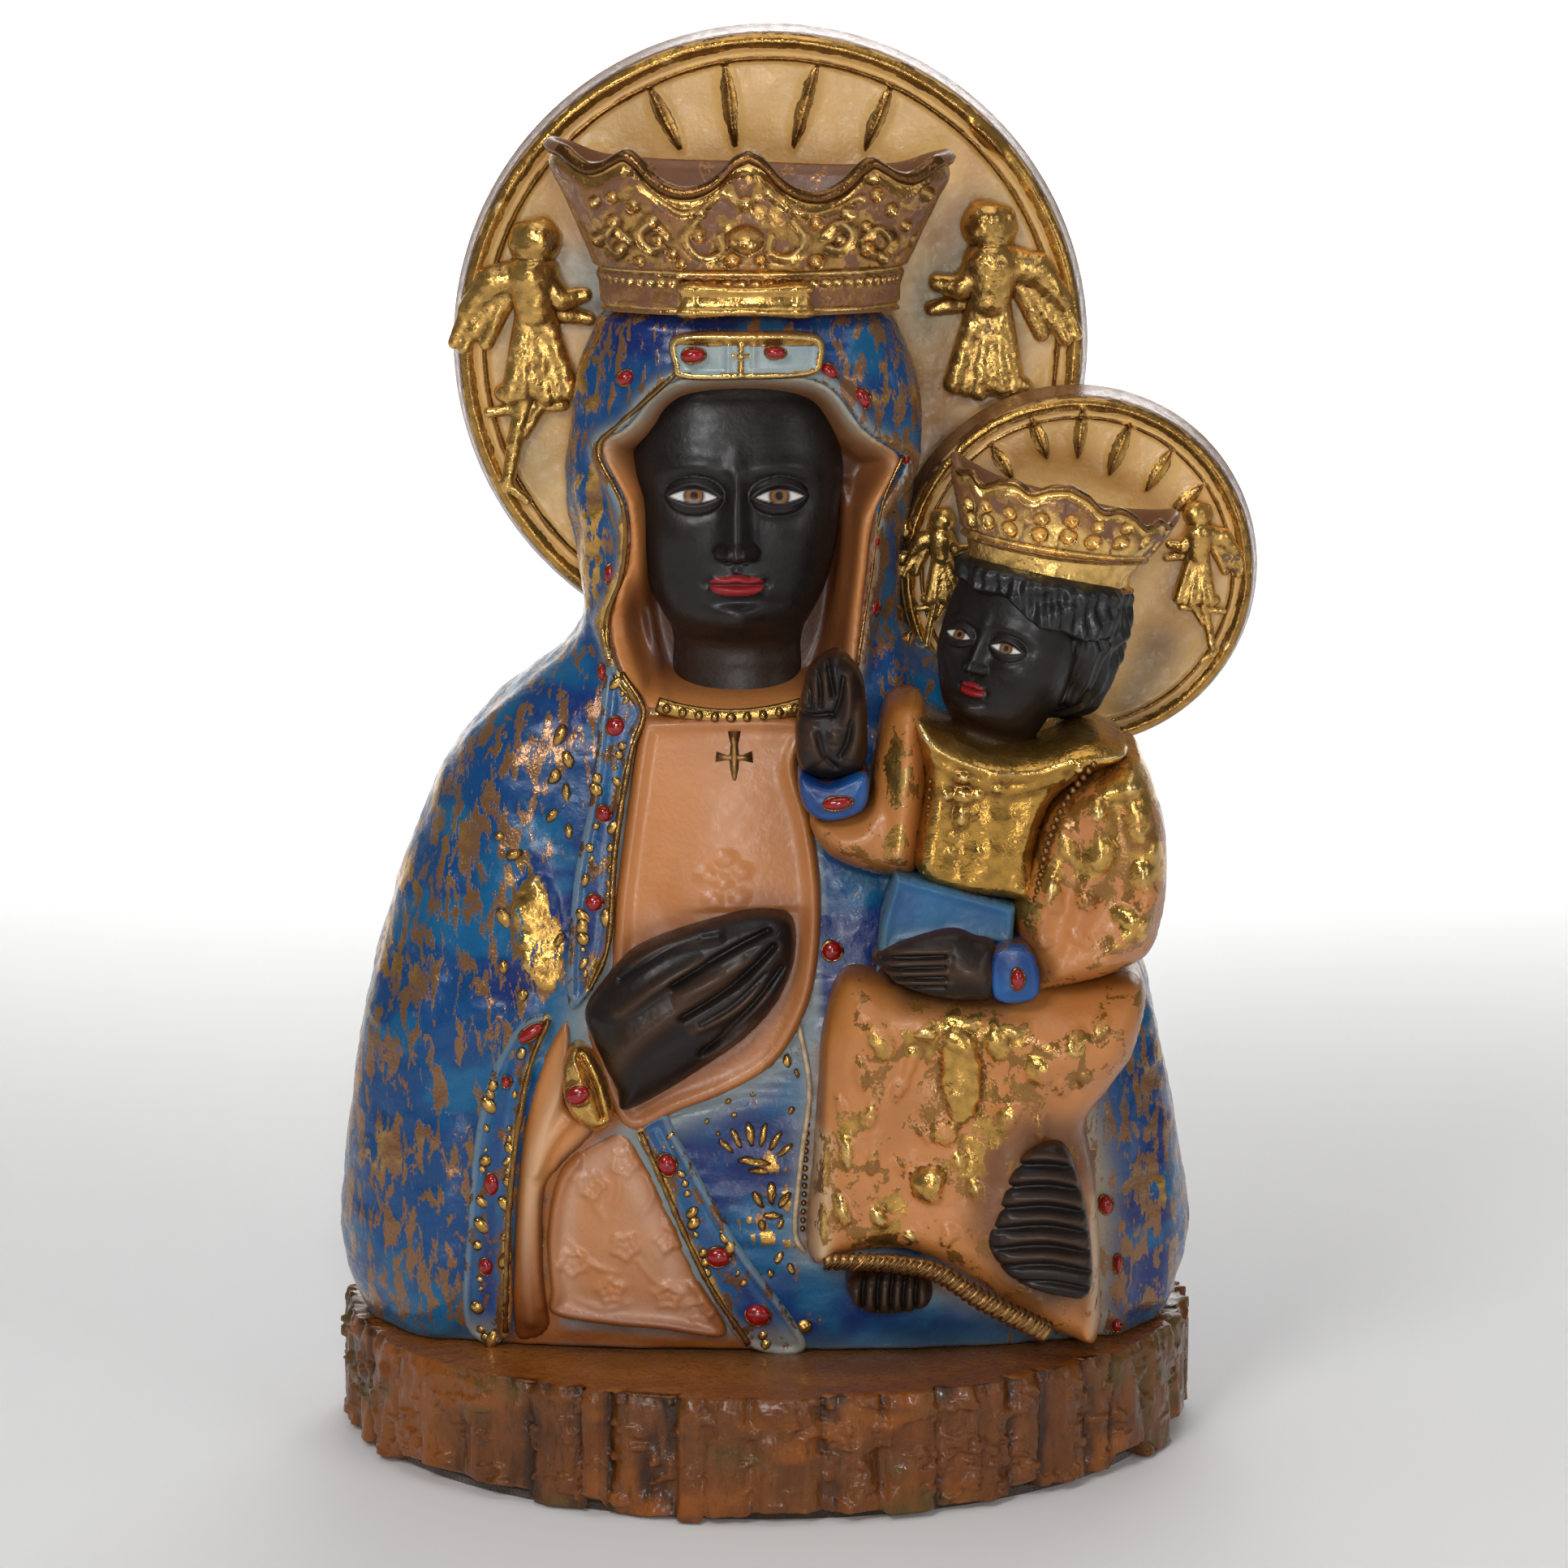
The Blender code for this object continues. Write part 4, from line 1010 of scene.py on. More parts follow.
def make_crown_form(name, node, size, place, rim, pattern, material, seed, tilt=1.3, floor=0.7):
    """A crown, walked up its outside and down its inside to its sunken top."""
    band_x, band_y, rim_x, rim_y, wall, bottom = size
    count = 380
    angle = np.linspace(0, 2 * math.pi, count, endpoint=False)
    degrees = np.degrees(np.abs(((angle + math.pi) % (2 * math.pi)) - math.pi))
    top = through(rim, degrees)[0] - tilt * np.sin(angle)
    up = np.concatenate([np.linspace(0, 1, 84) ** 0.92, np.full(5, 1.0),
                         np.linspace(1, floor, 40), [floor, floor]])
    inner = np.concatenate([np.zeros(84), np.linspace(0.12, 0.88, 5), np.ones(40), [1.0, 1.0]])
    pull = np.concatenate([np.ones(129), [0.6, 0.05]])
    rows = []
    for share, inward, keep in zip(up, inner, pull):
        lift = 0.55 * wall * math.sin(inward * math.pi)
        flare = max(0.0, (share - 0.16) / 0.84) ** 1.12
        half_x = band_x + (rim_x - band_x) * flare - wall * inward
        half_y = band_y + (rim_y - band_y) * flare - wall * inward
        z = bottom + (top - bottom) * share + lift
        rows.append(np.stack([half_x * keep * np.sin(angle), -half_y * keep * np.cos(angle), z], 1))
    grid = np.stack(rows)
    normal = -ring_normals(grid)
    x, z = grid[..., 0].ravel(), grid[..., 2].ravel()
    outside = (inner == 0)[:, None] * np.ones(count)
    share = np.repeat(up, count)
    gap = (1 - share) * (np.tile(top, len(up)) - bottom)
    lift = pattern(x, z, share, gap, np.tile(angle, len(up))) * outside.ravel()
    lift = lift.reshape(len(up), count)
    grid = grid + normal * lift[..., None]
    flat = place(grid.reshape(-1, 3))
    faces = [face[::-1] for face in tube_faces(len(up), count)]
    warm = mix((0.17, 0.070, 0.030), (0.24, 0.098, 0.045), noise(x, z, 9, seed))
    warm = mix(warm, (0.11, 0.050, 0.020), 0.7 * outside.ravel() * ease(0.3 - lift.ravel()))
    cover = 0.42 + 0.55 * np.clip(lift.ravel() - 0.2, 0, 0.6) - 0.10 * (1 - outside.ravel())
    # The front of the crown, and the front of its rim, get more gold than the sides: a painted highlight on the front,
    # with the sides left browner as gold seen edge-on looks darker.
    cover += 0.20 * bell(share - 0.5, 0.35) * ease(np.tile(np.cos(angle), len(up)) * 1.6)
    cover += 0.34 * bell(gap - 0.2, 0.9) * (np.tile(np.cos(angle), len(up)) > 0.35)
    cover += 0.20 * (noise(x, z, 6, seed + 3) - 0.5)
    build(name, flat, faces, material, "gold_paint", (node,), paint=warm, gold=cover)


def main_crown_pattern(x, z, share, gap, angle):
    cx, cy, cz = CROWN_CENTRE
    x, z = x + cx, z + cz
    front = ease((np.cos(angle) - 0.1) / 0.3)
    out = front * crown_relief(x, z, share, gap)
    out = np.maximum(out, 1.7 * bell(gap - 1.0, 1.5))
    out = np.maximum(out, 0.9 * bell(z - 251.6, 0.55))
    out = np.maximum(out, 0.7 * bell(z - 244.2, 0.6))
    beads = np.abs(np.sin(angle * 34))
    out = np.maximum(out, 1.1 * bell(z - 249.7, 0.75) * beads)
    out += (1 - front) * 0.8 * bell(((angle * 6 / math.pi) % 1) - 0.5, 0.3) * bell(share - 0.5, 0.2)
    return out + 0.35 * (noise(x * 1.0 + angle * 9, z, 3.5, 73) - 0.5)


def make_crowns():
    centre = np.array(CROWN_CENTRE)
    make_crown_form("crown_flared", "crown", (31.2, 18, 43.2, 22, 4.4, 0.0),
                    lambda p: p + centre, CROWN_RIM, main_crown_pattern, crown_gold, 74)
    small_rim = ((0, 20.4), (9, 19.4), (18, 17.4), (27, 18.4), (36, 17.6), (46, 15.8), (56, 17.6), (66, 16.8),
                 (78, 18.4), (100, 19.0), (125, 17.0), (150, 15.0), (180, 14.6))

    def small_pattern(x, z, share, gap, angle):
        out = 0.9 * bell(gap - 0.9, 1.0)
        out = np.maximum(out, 1.3 * ease((z - 0.2) / 0.8) * ease((6.6 - z) / 1.0))
        out = np.maximum(out, 0.9 * bell(z - 7.6, 0.45))
        for at in (-60, -44, -30, -12, 4, 18, 34, 50, 66):
            spot = math.radians(at)
            for lift, size in ((10.6, 1.5), (13.8, 1.3)):
                place = 20.5 * (angle - spot + math.pi) % (2 * math.pi * 20.5) - math.pi * 20.5
                out = np.maximum(out, dome(place, z, (0, lift + at % 3 * 0.5), (size, size), 1.3))
        return out + 0.5 * (noise(angle * 20, z, 2.5, 75) - 0.5)

    lean = math.radians(11)

    def place(p):
        x = p[:, 0] * math.cos(lean) + p[:, 2] * math.sin(lean)
        z = p[:, 2] * math.cos(lean) - p[:, 0] * 0.15
        return np.stack([x + 58.4, p[:, 1] - 32.8, z + 189.3], 1)

    make_crown_form("child_crown_flared", "child_crown", (18.4, 15.2, 25.0, 16.6, 2.4, 0.0),
                    place, small_rim, small_pattern, small_crown_gold, 76, 2.6, 0.75)

    def plaque_front(x, z, depth):
        return -36.4 + 0.15 * (z - 246.6) + 0.012 * (x + 3.5) ** 2 - 0.9 * bell(np.abs(z - 246.6) - 2.3, 0.8) - 0.5 * (
            np.abs(x + 3.5) > 10)

    outline = ((-17.4, 249.4), (-14, 250.3), (-3.5, 249.4), (7, 250.3), (10.4, 249.4), (9.6, 246.6),
               (10.6, 243.6), (7, 243.0), (-3.5, 243.8), (-14, 243.0), (-17.6, 243.6), (-16.6, 246.6))
    points, faces, depth = relief(outline, plaque_front, -30.5, 0.6, 0.8)
    build("crown_plaque_plate", points, faces, leaf_gold, "gold_paint", ("crown_plaque",))

    def brow_front(x, z, depth):
        out = -33.6 + 0.010 * (x + 3.5) ** 2 - 0.9 * bell(depth - 0.9, 0.9)
        out -= 0.9 * bell(np.abs(x + 4.5) - 2.6, 0.5) * bell(z - 235, 3)
        out -= 0.9 * bell(to_line(x, z, ((-4.5, 237.3), (-4.5, 231.4)))[0], 0.5)
        return out - 0.9 * bell(to_line(x, z, ((-6.0, 235.2), (-3.0, 235.2)))[0], 0.5)

    outline = ((-18, 239), (-3.5, 240), (11, 239.2), (12.4, 233.6), (9.6, 230.8), (-3.5, 230.2),
               (-16.4, 230.2), (-18.6, 233))
    points, faces, depth = relief(outline, brow_front, -27.0, 0.45, 0.8)
    x, y, z = points.T
    colour = mix((0.24, 0.33, 0.36), (0.40, 0.46, 0.44), noise(x, z, 4, 79))
    cross = np.minimum(to_line(x, z, ((-4.5, 237.3), (-4.5, 231.4)))[0],
                       to_line(x, z, ((-6.0, 235.2), (-3.0, 235.2)))[0])
    gold = 0.2 + 0.5 * (depth < 1.5) + 0.6 * (cross < 0.5) + 0.45 * ease((z - 236.6) / 0.8)
    plate = painted_material("brow_paint", 0.3, 0.05, (160, 1, 1), 0.5, 0.25)
    build("brow_plate_panel", points, faces, plate, "gold_paint", ("brow_plate",),
          paint=colour, gold=gold)


# Heads --------------------------------------------------------------------------------------


def make_face(name, nodes, centre, size, yaw, lean, young, neck, material):
    """A head on its neck, with a calm, plain face. Shaped facing -Y at a half height of 27 mm."""
    sections = [
        (-48, -15.5, 15.5, -11.0, 10), (-40, -14.6, 14.6, -11.0, 10), (-33, -14.0, 14.0, -10.4, 10),
        (-28, -13.6, 13.6, -11.2, 10), (-25.5, -14.0, 14.0, -14.0, 11), (-23, -15.4, 15.4, -16.2, 12),
        (-18, -18.0, 18.0, -17.2, 13), (-10, -20.4, 20.4, -17.4, 14), (0, -21.8, 21.8, -17.4, 15),
        (9, -22.2, 22.2, -17.2, 15), (17, -20.8, 20.8, -15.2, 14), (23, -18.6, 18.6, -12.8, 12),
        (27, -15.5, 15.5, -10.2, 9), (29, -9.0, 9.0, -6.0, 5),
    ]
    if young:
        sections = [row if row[0] < -26 or row[0] > 2 else
                    (row[0], row[1] * 1.05, row[2] * 1.05, row[3], row[4]) for row in sections]
    grid = loft(sections, 270, 300, 2.25, 0.72)
    normal = ring_normals(grid)
    flat, out = grid.reshape(-1, 3), normal.reshape(-1, 3)
    x, y, z = flat.T
    front = ease((-out[:, 1] - 0.05) / 0.4)
    side = np.abs(x)
    eye_z = 3.6 if not young else 0.5
    reach = 1.0 if not young else 0.86
    push = 1.0 * bell(z - (eye_z + 5.6 - 0.022 * (side - 8) ** 2), 2.4) * bell(side - 9, 9)
    push -= 2.9 * bell(side - 8.7, 5.6) * bell(z - eye_z - 0.4, 3.7)
    push += 2.7 * np.sqrt(np.clip(1 - ((side - 8.8) / 6.2) ** 2 - ((z - eye_z) / 4.0) ** 2, 0, 1))
    lid = eye_z + 2.5 - 0.075 * (side - 8.8) ** 2
    push += 0.75 * bell(z - lid, 0.55) * (np.abs(side - 8.8) < 6.0)
    push += 0.42 * bell(z - (eye_z - 2.0 + 0.055 * (side - 8.8) ** 2), 0.5) * (np.abs(side - 8.8) < 5.4)
    nose = np.clip((eye_z + 4 - z) / (eye_z + 4 + 8.6), 0, 1)
    bridge = (1.4 + 3.9 * nose**1.3) * bell(x, 1.9 + 0.8 * nose) * ease((z + 10.4) / 1.8)
    bridge *= ease((eye_z + 13.0 - z) / 13.0)
    push += bridge * reach
    push += (1.7 * dome(side, z, (2.9, -7.9), (1.9, 1.9), 1.0) + 0.8 * dome(x, z, (0, -8.0), (2.4, 2.3), 1.0))
    push -= 0.9 * bell(np.hypot(side - 1.6, z + 9.7), 0.8) + 0.35 * bell(x, 0.9) * bell(z + 11.8, 1.5)
    wide = 4.6 if young else 5.8
    bow = -13.6 + 0.45 * np.cos(x * 1.15) * bell(x, 3.5)
    mouth = np.clip(1 - (x / wide) ** 2, 0, 1)
    push += 0.95 * bell(z - bow + 0.3, 0.95) * mouth**0.7 * (z > -14.6)
    push += 1.15 * bell(z + 15.9, 1.0) * mouth**0.8
    push -= 0.70 * bell(z + 14.7, 0.38) * mouth**0.4
    push -= 0.6 * bell(np.hypot(side - wide - 0.4, z + 14.6), 1.0)
    push -= 0.9 * bell(z + 18.6, 1.0) * bell(x, 4.5)
    push += 1.9 * bell(np.hypot(x / 1.4, z + 21.3), 3.1)
    push += (1.0 if not young else 2.4) * bell(np.hypot((side - 12.5) / 1.2, z + 5.5), 6.0)
    flat = flat + out * (front * push)[:, None]

    # Paint: a satin black-brown skin, white eyes with amber irises, red lips
    colour = mix(SKIN, HAND_BROWN, 0.75 * ease((-z - 17) / 12) + 0.25 * noise(x, z, 14, 81))
    ex, ez = side - 8.8, z - eye_z
    opening = np.minimum(1.45 - 0.060 * ex**2 - ez, ez + 1.35 - 0.050 * ex**2)
    opening = np.minimum(opening, 4.8 - np.abs(ex)) * (front > 0.3)
    seen = ease((opening - 0.0) / 0.35)
    colour = mix(colour, (0.72, 0.70, 0.66), seen)
    iris = np.hypot(ex, ez - 0.1)
    colour = mix(colour, (0.24, 0.10, 0.02), seen * ease((2.1 - iris) / 0.3))
    colour = mix(colour, (0.02, 0.008, 0.003), seen * bell(iris - 1.95, 0.3))
    colour = mix(colour, (0.004, 0.003, 0.003), seen * ease((1.0 - iris) / 0.25))
    colour = mix(colour, (0.004, 0.003, 0.003), 0.9 * bell(opening + 0.2, 0.4) * (ez > 0) * (front > 0.3))
    hair_line = z - (eye_z + 6.6 - 0.030 * (side - 8) ** 2)
    colour = mix(colour, (0.006, 0.005, 0.004), 0.8 * bell(hair_line, 0.8) * bell(side - 9, 5.5))
    lips = np.minimum((z - bow < 0.75) * 1.0, (z > -17.0) * 1.0) * (mouth > 0.03) * (
        np.abs(z + 14.8) < 2.25 * mouth**0.5)
    colour = mix(colour, (0.30, 0.012, 0.014), lips * (front > 0.3) * 0.95)
    colour = mix(colour, (0.05, 0.003, 0.004), lips * bell(z + 14.7, 0.3) * (front > 0.3))

    scale = size / 27.0
    keep = z > neck
    flat = flat * scale
    if not young:
        keep[:] = True
    a, b = math.radians(yaw), math.radians(lean)
    # The neck stays put while the head turns over it
    turn = a * (ease((z + 34) / 14))
    x, y, z = flat.T
    x, y = x * np.cos(turn) + y * np.sin(turn), -x * np.sin(turn) + y * np.cos(turn)
    x, z = x * math.cos(b) + z * math.sin(b), z * math.cos(b) - x * math.sin(b)
    flat = np.stack([x, y, z], 1) + centre
    build(name, flat, tube_faces(270, 300), material, "dark_paint", nodes,
          paint=colour, gold=np.zeros(len(flat)))


def make_heads():
    skin = painted_material("skin_paint", 0.40, 0.0, shine=0.3)
    make_face("head_and_neck", ("head",), (-5.5, -12.0, 202.0), 27.0, 0, 0, False, -48, skin)
    make_face("child_head_and_neck", ("child_head",), (51.2, -36.5, 176.4), 17.6, 36, 11, True, -40, skin)

    # The child's hair: a cap of locks falling from under the crown
    sections = [(-16, -2, 9, -3, 8), (-14, -7, 14, -8, 12), (-9, -13, 17.4, -13, 15), (-3, -16, 18.6, -16.5, 17),
                (4, -18.2, 18.8, -19.0, 17), (10, -18.2, 17.8, -18.2, 16), (14.6, -16.0, 15, -15.4, 13), (16.2, -10, 9, -10, 9)]
    grid = loft(sections, 150, 260, 2.1, 0.6)
    normal = ring_normals(grid)
    rows, count = grid.shape[:2]
    flat, out = grid.reshape(-1, 3), normal.reshape(-1, 3)
    x, y, z = flat.T
    angle = np.arctan2(x, -y)
    wave = np.sin(angle * 12 - z * 0.30 + 1.5 * np.sin(z * 0.30 + angle * 2) + 3.0 * noise(angle * 8, z, 8, 85))
    push = 0.7 * wave + 0.35 * np.sin(angle * 39 + z * 0.3 + 3 * noise(angle * 9, z, 6, 86))
    push *= ease((14.5 - z) / 3)
    # The face is left clear below the fringe
    face_angle = angle + math.radians(40)
    fringe = 9.6 - 5.2 * ease((face_angle - 0.1) / 0.75) + 0.5 * np.sin(angle * 9)
    clear = bell(face_angle / 1.0, 1.0) ** 0.6 * ease((fringe - z) / 2.0)
    flat = flat + out * (push - 9.0 * clear)[:, None]
    lean = math.radians(11)
    x, y, z = flat.T
    flat = np.stack([x * math.cos(lean) + z * math.sin(lean), y, z * math.cos(lean) - x * math.sin(lean)], 1)
    flat += (55.9, -32.0, 177.1)
    hair = glossy_paint("hair_paint", (0.010, 0.009, 0.009), 0.38, 0.1, 1400)
    build("child_hair_locks", flat, tube_faces(rows, count), hair, "dark_paint", ("child_hair",))


# Hands, foot and angels ---------------------------------------------------------------------


def make_hand(name, node, outline, base, swelling, back, grooves, ridges, material, step=0.45):
    """A cast hand or foot: a pillowed outline, cut by grooves between its fingers."""
    reach, height = swelling

    def front(x, z, depth):
        out = base - swell(depth, reach, height)
        for points, width, deep in grooves:
            out += ridge(x, z, points, width, deep)
        for points, width, high in ridges:
            out -= ridge(x, z, points, width, high, True)
        return out - 0.15 * (noise(x, z, 3, 90) - 0.5)

    points, faces, depth = relief(outline, front, back, step, 0.7)
    x, y, z = points.T
    colour = mix(SKIN, HAND_BROWN, 0.7 * noise(x, z, 7, 91))
    # Painted highlight along the raised ridges, painted shade along the grooves between the fingers and toes.
    for line, width, _ in ridges:
        colour = mix(colour, (0.085, 0.042, 0.020), 0.6 * bell(to_line(x, z, curve(line))[0], 0.8 * width))
    for line, width, _ in grooves:
        colour = mix(colour, (0.004, 0.003, 0.003), 0.8 * bell(to_line(x, z, curve(line))[0], 0.7 * width))
    colour = mix(colour, (0.10, 0.032, 0.010), 0.5 * bell(depth, 0.6))
    build(name, points, faces, material, "dark_paint", (node,), paint=colour, gold=0.0 * x)


def make_hands():
    skin = painted_material("hand_paint", 0.38, 0.0, shine=0.22)
    grooves = (
        (((-18.5, 107.4), (-11, 112), (-4.2, 115.8), (1.0, 118.2)), 0.75, 2.0),
        (((-16.5, 100.6), (-10, 104.6), (-4.5, 108.6), (2.0, 115.0)), 0.9, 2.4),
        (((-12.6, 92.6), (-7, 98), (-2.0, 103.0), (3.6, 110.4)), 0.8, 2.2),
        (((-29.5, 107.6), (-24, 111.8), (-17.9, 115.0), (-9, 117.0)), 0.8, 1.3),
        (((-12.8, 99.0), (-6, 103.2), (0.5, 109.6)), 0.45, 0.9),
    )
    ridges = (
        (((-30, 101), (-21, 107.6), (-12, 112.6)), 1.3, 1.5), (((-33, 86), (-27, 95), (-18, 102), (-7, 109)), 3.0, 2.0),
        (((-18.5, 104.4), (-11, 108.2), (-3, 112.6)), 1.2, 1.3), (((-14.5, 97.6), (-7, 101.4), (0, 107)), 1.0, 1.3),
        (((-11.6, 94.6), (-5.0, 99.4), (1.0, 105)), 0.9, 1.0), (((-12, 91.6), (-7.4, 94.2), (-2.0, 99)), 0.9, 1.4),
        (((-27, 110.8), (-20, 114.6), (-13, 116.4)), 0.9, 0.9),
    )
    make_hand("right_hand_fingers", "right_hand", PRAYING_HAND, -43.5, (9.0, 8.2), -36.5, grooves, ridges, skin)

    outline = ((55, 75.6), (61, 76.6), (64.6, 70), (67.2, 58), (67.4, 44.6), (61, 43.8), (53, 46.4), (48.5, 50.5),
               (46.0, 56), (47.6, 61), (49.0, 66), (51.5, 72))
    rows = (71.4, 67.0, 62.6, 58.4, 54.2, 50.2, 46.6)
    grooves = [(((66.8, z - 0.6), (58, z + 0.9), (48, z + 0.2)), 0.6, 1.2) for z in rows]
    ridges = [(((66.0, z + 1.6), (58, z + 3.0), (49.5, z + 2.3)), 0.8, 1.2) for z in rows[:-1]]
    make_hand("left_hand_fingers", "left_hand", outline, -61.2, (3.2, 2.6), -46.5, grooves, ridges, skin)

    outline = ((8.5, 169.5), (9.6, 172.8), (12.0, 175.4), (15.2, 176.6), (18.0, 174.6), (20.4, 170.5), (21.3, 162),
               (20.5, 153), (13.5, 150.5), (7.8, 152.5), (6.6, 160))
    grooves = (
        (((13.2, 176.0), (13.6, 172.5), (14.4, 168.4)), 0.5, 1.4), (((9.4, 171.0), (9.8, 168.4), (9.6, 166.0)), 0.35, 1.0),
        (((11.2, 173.4), (11.8, 169.4), (11.6, 166.2)), 0.4, 1.1), (((7.2, 164.4), (10.5, 164.2), (13.8, 164.6)), 0.5, 1.2),
        (((16.4, 172.0), (15.4, 166.6), (14.2, 164.0)), 0.45, 1.0), (((11.0, 160.5), (12.4, 156.0), (14.8, 153.6)), 0.6, 1.0),
        (((17.8, 163.0), (17.2, 159.0), (15.6, 156.0)), 0.5, 0.8),
    )
    ridges = (
        (((17.4, 172.6), (17.6, 167), (16.9, 162.0)), 0.9, 1.3), (((19.6, 166), (19.4, 160), (17.6, 155)), 1.2, 1.4),
        (((8.5, 169.8), (8.6, 166.6)), 0.6, 0.8), (((10.5, 171.6), (10.7, 167.4)), 0.6, 0.9),
        (((12.6, 172.6), (12.9, 167.8)), 0.6, 0.9), (((9.4, 161.6), (10.2, 158), (12.2, 155)), 1.8, 1.4),
        (((14.9, 161.4), (14.4, 158.4)), 1.3, 1.0),
    )
    make_hand("child_right_hand_fingers", "child_right_hand", outline, -49.4, (5, 5.4), -44.2, grooves, ridges, skin, 0.4)

    outline = ((22.2, 114.6), (25.4, 117.2), (31, 119.4), (38.5, 121.0), (43, 119.6), (47.6, 117.4), (47.8, 107.4),
               (41, 106.0), (34, 107.0), (27.5, 109.4), (24.6, 112.2))
    grooves = [(((24.0 + k, z - 0.2), (31, z + 0.2), (37.0, z + 0.4)), 0.42, 1.2)
               for k, z in enumerate((115.6, 113.4, 111.2, 109.3))]
    ridges = [(((26, z), (31, z + 0.3), (38.5, z + 0.5)), 0.7, 0.8) for z in (116.8, 114.4, 112.3, 110.2)]
    ridges.append((((38, 113.2), (42, 112.6), (46, 112.0)), 2.6, 1.6))
    make_hand("child_left_hand_fingers", "child_left_hand", outline, -58.6, (5, 4.6), -52.2, grooves, ridges, skin, 0.4)

    outline = ((17.2, 43.8), (18.4, 46.4), (22, 47.8), (28, 48.2), (33.6, 46.4), (35.2, 43.2), (33.4, 39.8), (27, 38.6),
               (20.4, 39.2))
    grooves = [(((x + 0.5, 47.6), (x, 43.5), (x + 0.2, 39.6)), 0.5, 1.8) for x in (20.6, 23.6, 26.4, 29.0, 31.5)]
    ridges = [(((x, 45.6), (x - 0.3, 40.6)), 0.8, 1.0) for x in (19.2, 22.2, 25.2, 27.8, 30.4, 33.0)]
    make_hand("child_foot_toes", "child_foot", outline, -56.0, (3.0, 3.6), -46.5, grooves, ridges, skin, 0.4)


def angel_blobs(dx, dz, s, face):
    """A little winged figure in profile: head, hair, wing, arms, skirt and legs, as capsules."""
    rows = [
        (0.5, 0, 24, 2.7, 1.2, 0, 25, 2.9), (2.4, 0.4, 23.6, 1.0, 3.2, 0.4, 23.2, 0.8),
        (-1.8, 0, 26.4, 1.6, 2.2, 0, 27.6, 1.5), (-2.4, 0, 24.6, 1.5, -2.0, 0, 23.0, 1.4),
        (0, 0, 20, 1.8, 0.4, 0, 18, 3.0), (0.3, 0, 17.6, 3.3, 0.6, 0, 11.5, 2.6),
        (2.2, -1, 17.5, 1.8, 6.0, -1.4, 13.6, 1.4), (6.0, -1.4, 13.6, 1.4, 10.5, -1.2, 14.4, 1.0),
        (2.0, 0.8, 15.2, 1.5, 6.4, 0.6, 10.4, 1.2), (6.4, 0.6, 10.4, 1.2, 11.4, 0.6, 9.4, 0.9),
        (-2.2, 0.5, 18.2, 2.2, -8.0, 0.6, 16.6, 2.2), (-8.0, 0.6, 16.6, 2.2, -13.0, 0.8, 11.0, 1.4),
        (-7.0, 0.6, 15.0, 1.5, -11.6, 0.8, 6.5, 1.0), (-5.4, 0.6, 14.4, 1.5, -9.4, 0.8, 4.6, 1.0),
        (-12.4, 0.8, 12.6, 1.2, -16.0, 0.9, 4.5, 0.8), (-10.2, 0.8, 12.5, 1.3, -14.0, 0.9, 3.6, 0.9),
    ]
    for k in range(6):
        u = -3.4 + k * 1.75
        rows.append((0.2 + u * 0.35, -0.3, 11.0, 1.5, u * 1.35, -0.5 - 0.3 * (k % 2), -6.0 + 0.6 * (k % 3), 1.25))
    rows += [(-6.0, 0, -5.5, 1.2, 6.5, 0, -5.0, 1.2)]
    return [(dx + face * s * a[0], a[1], dz + s * a[2], 1.7 * s * a[3],
             dx + face * s * a[4], a[5], dz + s * a[6], 1.7 * s * a[7]) for a in rows]


def make_angels():
    for name, node, dx, dz, s, face, y, floor, legs in (
        ("angel_left_figure", "angel_left", -49.0, 229.0, 1.05, 1, 6.2, 8.6, True),
        ("angel_right_figure", "angel_right", 48.4, 230.5, 1.12, -1, 6.2, 8.6, False),
        ("child_angel_left_figure", "child_angel_left", 37.4, 184.0, 0.55, 1, -7.2, -5.4, True),
        ("child_angel_right_figure", "child_angel_right", 92.0, 184.0, 0.6, -1, -7.2, -5.4, True),
    ):
        blobs = [(a, b * s + y, c, r, d, e * s + y, f, q) for a, b, c, r, d, e, f, q in angel_blobs(dx, dz, s, face)]
        if legs:
            blobs += [(dx - face * 1.5 * s, y, dz - 6 * s, 2.0 * s, dx - face * 4 * s, y, dz - 16 * s, 1.7 * s),
                      (dx - face * 4 * s, y, dz - 16 * s, 1.7 * s, dx - face * 5.5 * s, y, dz - 25 * s, 1.3 * s),
                      (dx + face * 2.5 * s, y, dz - 6 * s, 1.7 * s, dx - face * 2 * s, y, dz - 14 * s, 1.3 * s),
                      (dx + face * 6 * s, y, dz - 8 * s, 1.4 * s, dx - face * 9 * s, y, dz - 9.5 * s, 1.2 * s),
                      (dx - face * 6 * s, y, dz - 24 * s, 1.2 * s, dx - face * 1.5 * s, y, dz - 27.5 * s, 1.0 * s)]
        points, faces = clay(blobs, 0.42 if s > 0.9 else 0.3, 0.35 * s, 1.0, floor)
        x, y_, z = points.T
        points[:, 1] -= 0.7 * s * (noise(x, z, 2.6, 97) - 0.5)
        tone = mix((0.10, 0.04, 0.012), (0.18, 0.10, 0.04), noise(x, z, 3, 95))
        cover = 0.74 + 0.5 * (noise(x, z, 5, 96) - 0.45)
        build(name, points, faces, angel_gold, "gold_paint", (node,), paint=tone, gold=cover)


# Halos --------------------------------------------------------------------------------------

RAYS = (
    ((-24.1, 287.5), (-17.6, 274.6)), ((-8.2, 292.8), (-6.0, 275)), ((11, 291.9), (6.2, 275)),
    ((26.7, 287.5), (21.4, 274.6)), ((43.6, 279.9), (50.5, 273.3)),
)
SMALL_RAYS = (
    ((56.5, 219), (59.7, 210.9)), ((67.1, 221.2), (66.2, 210.9)), ((77.1, 218.1), (73, 207.4)),
    ((85.8, 212.3), (80.8, 204)), ((92.5, 205), (86.5, 199.5)), ((48.0, 213.5), (52.5, 206.5)),
)


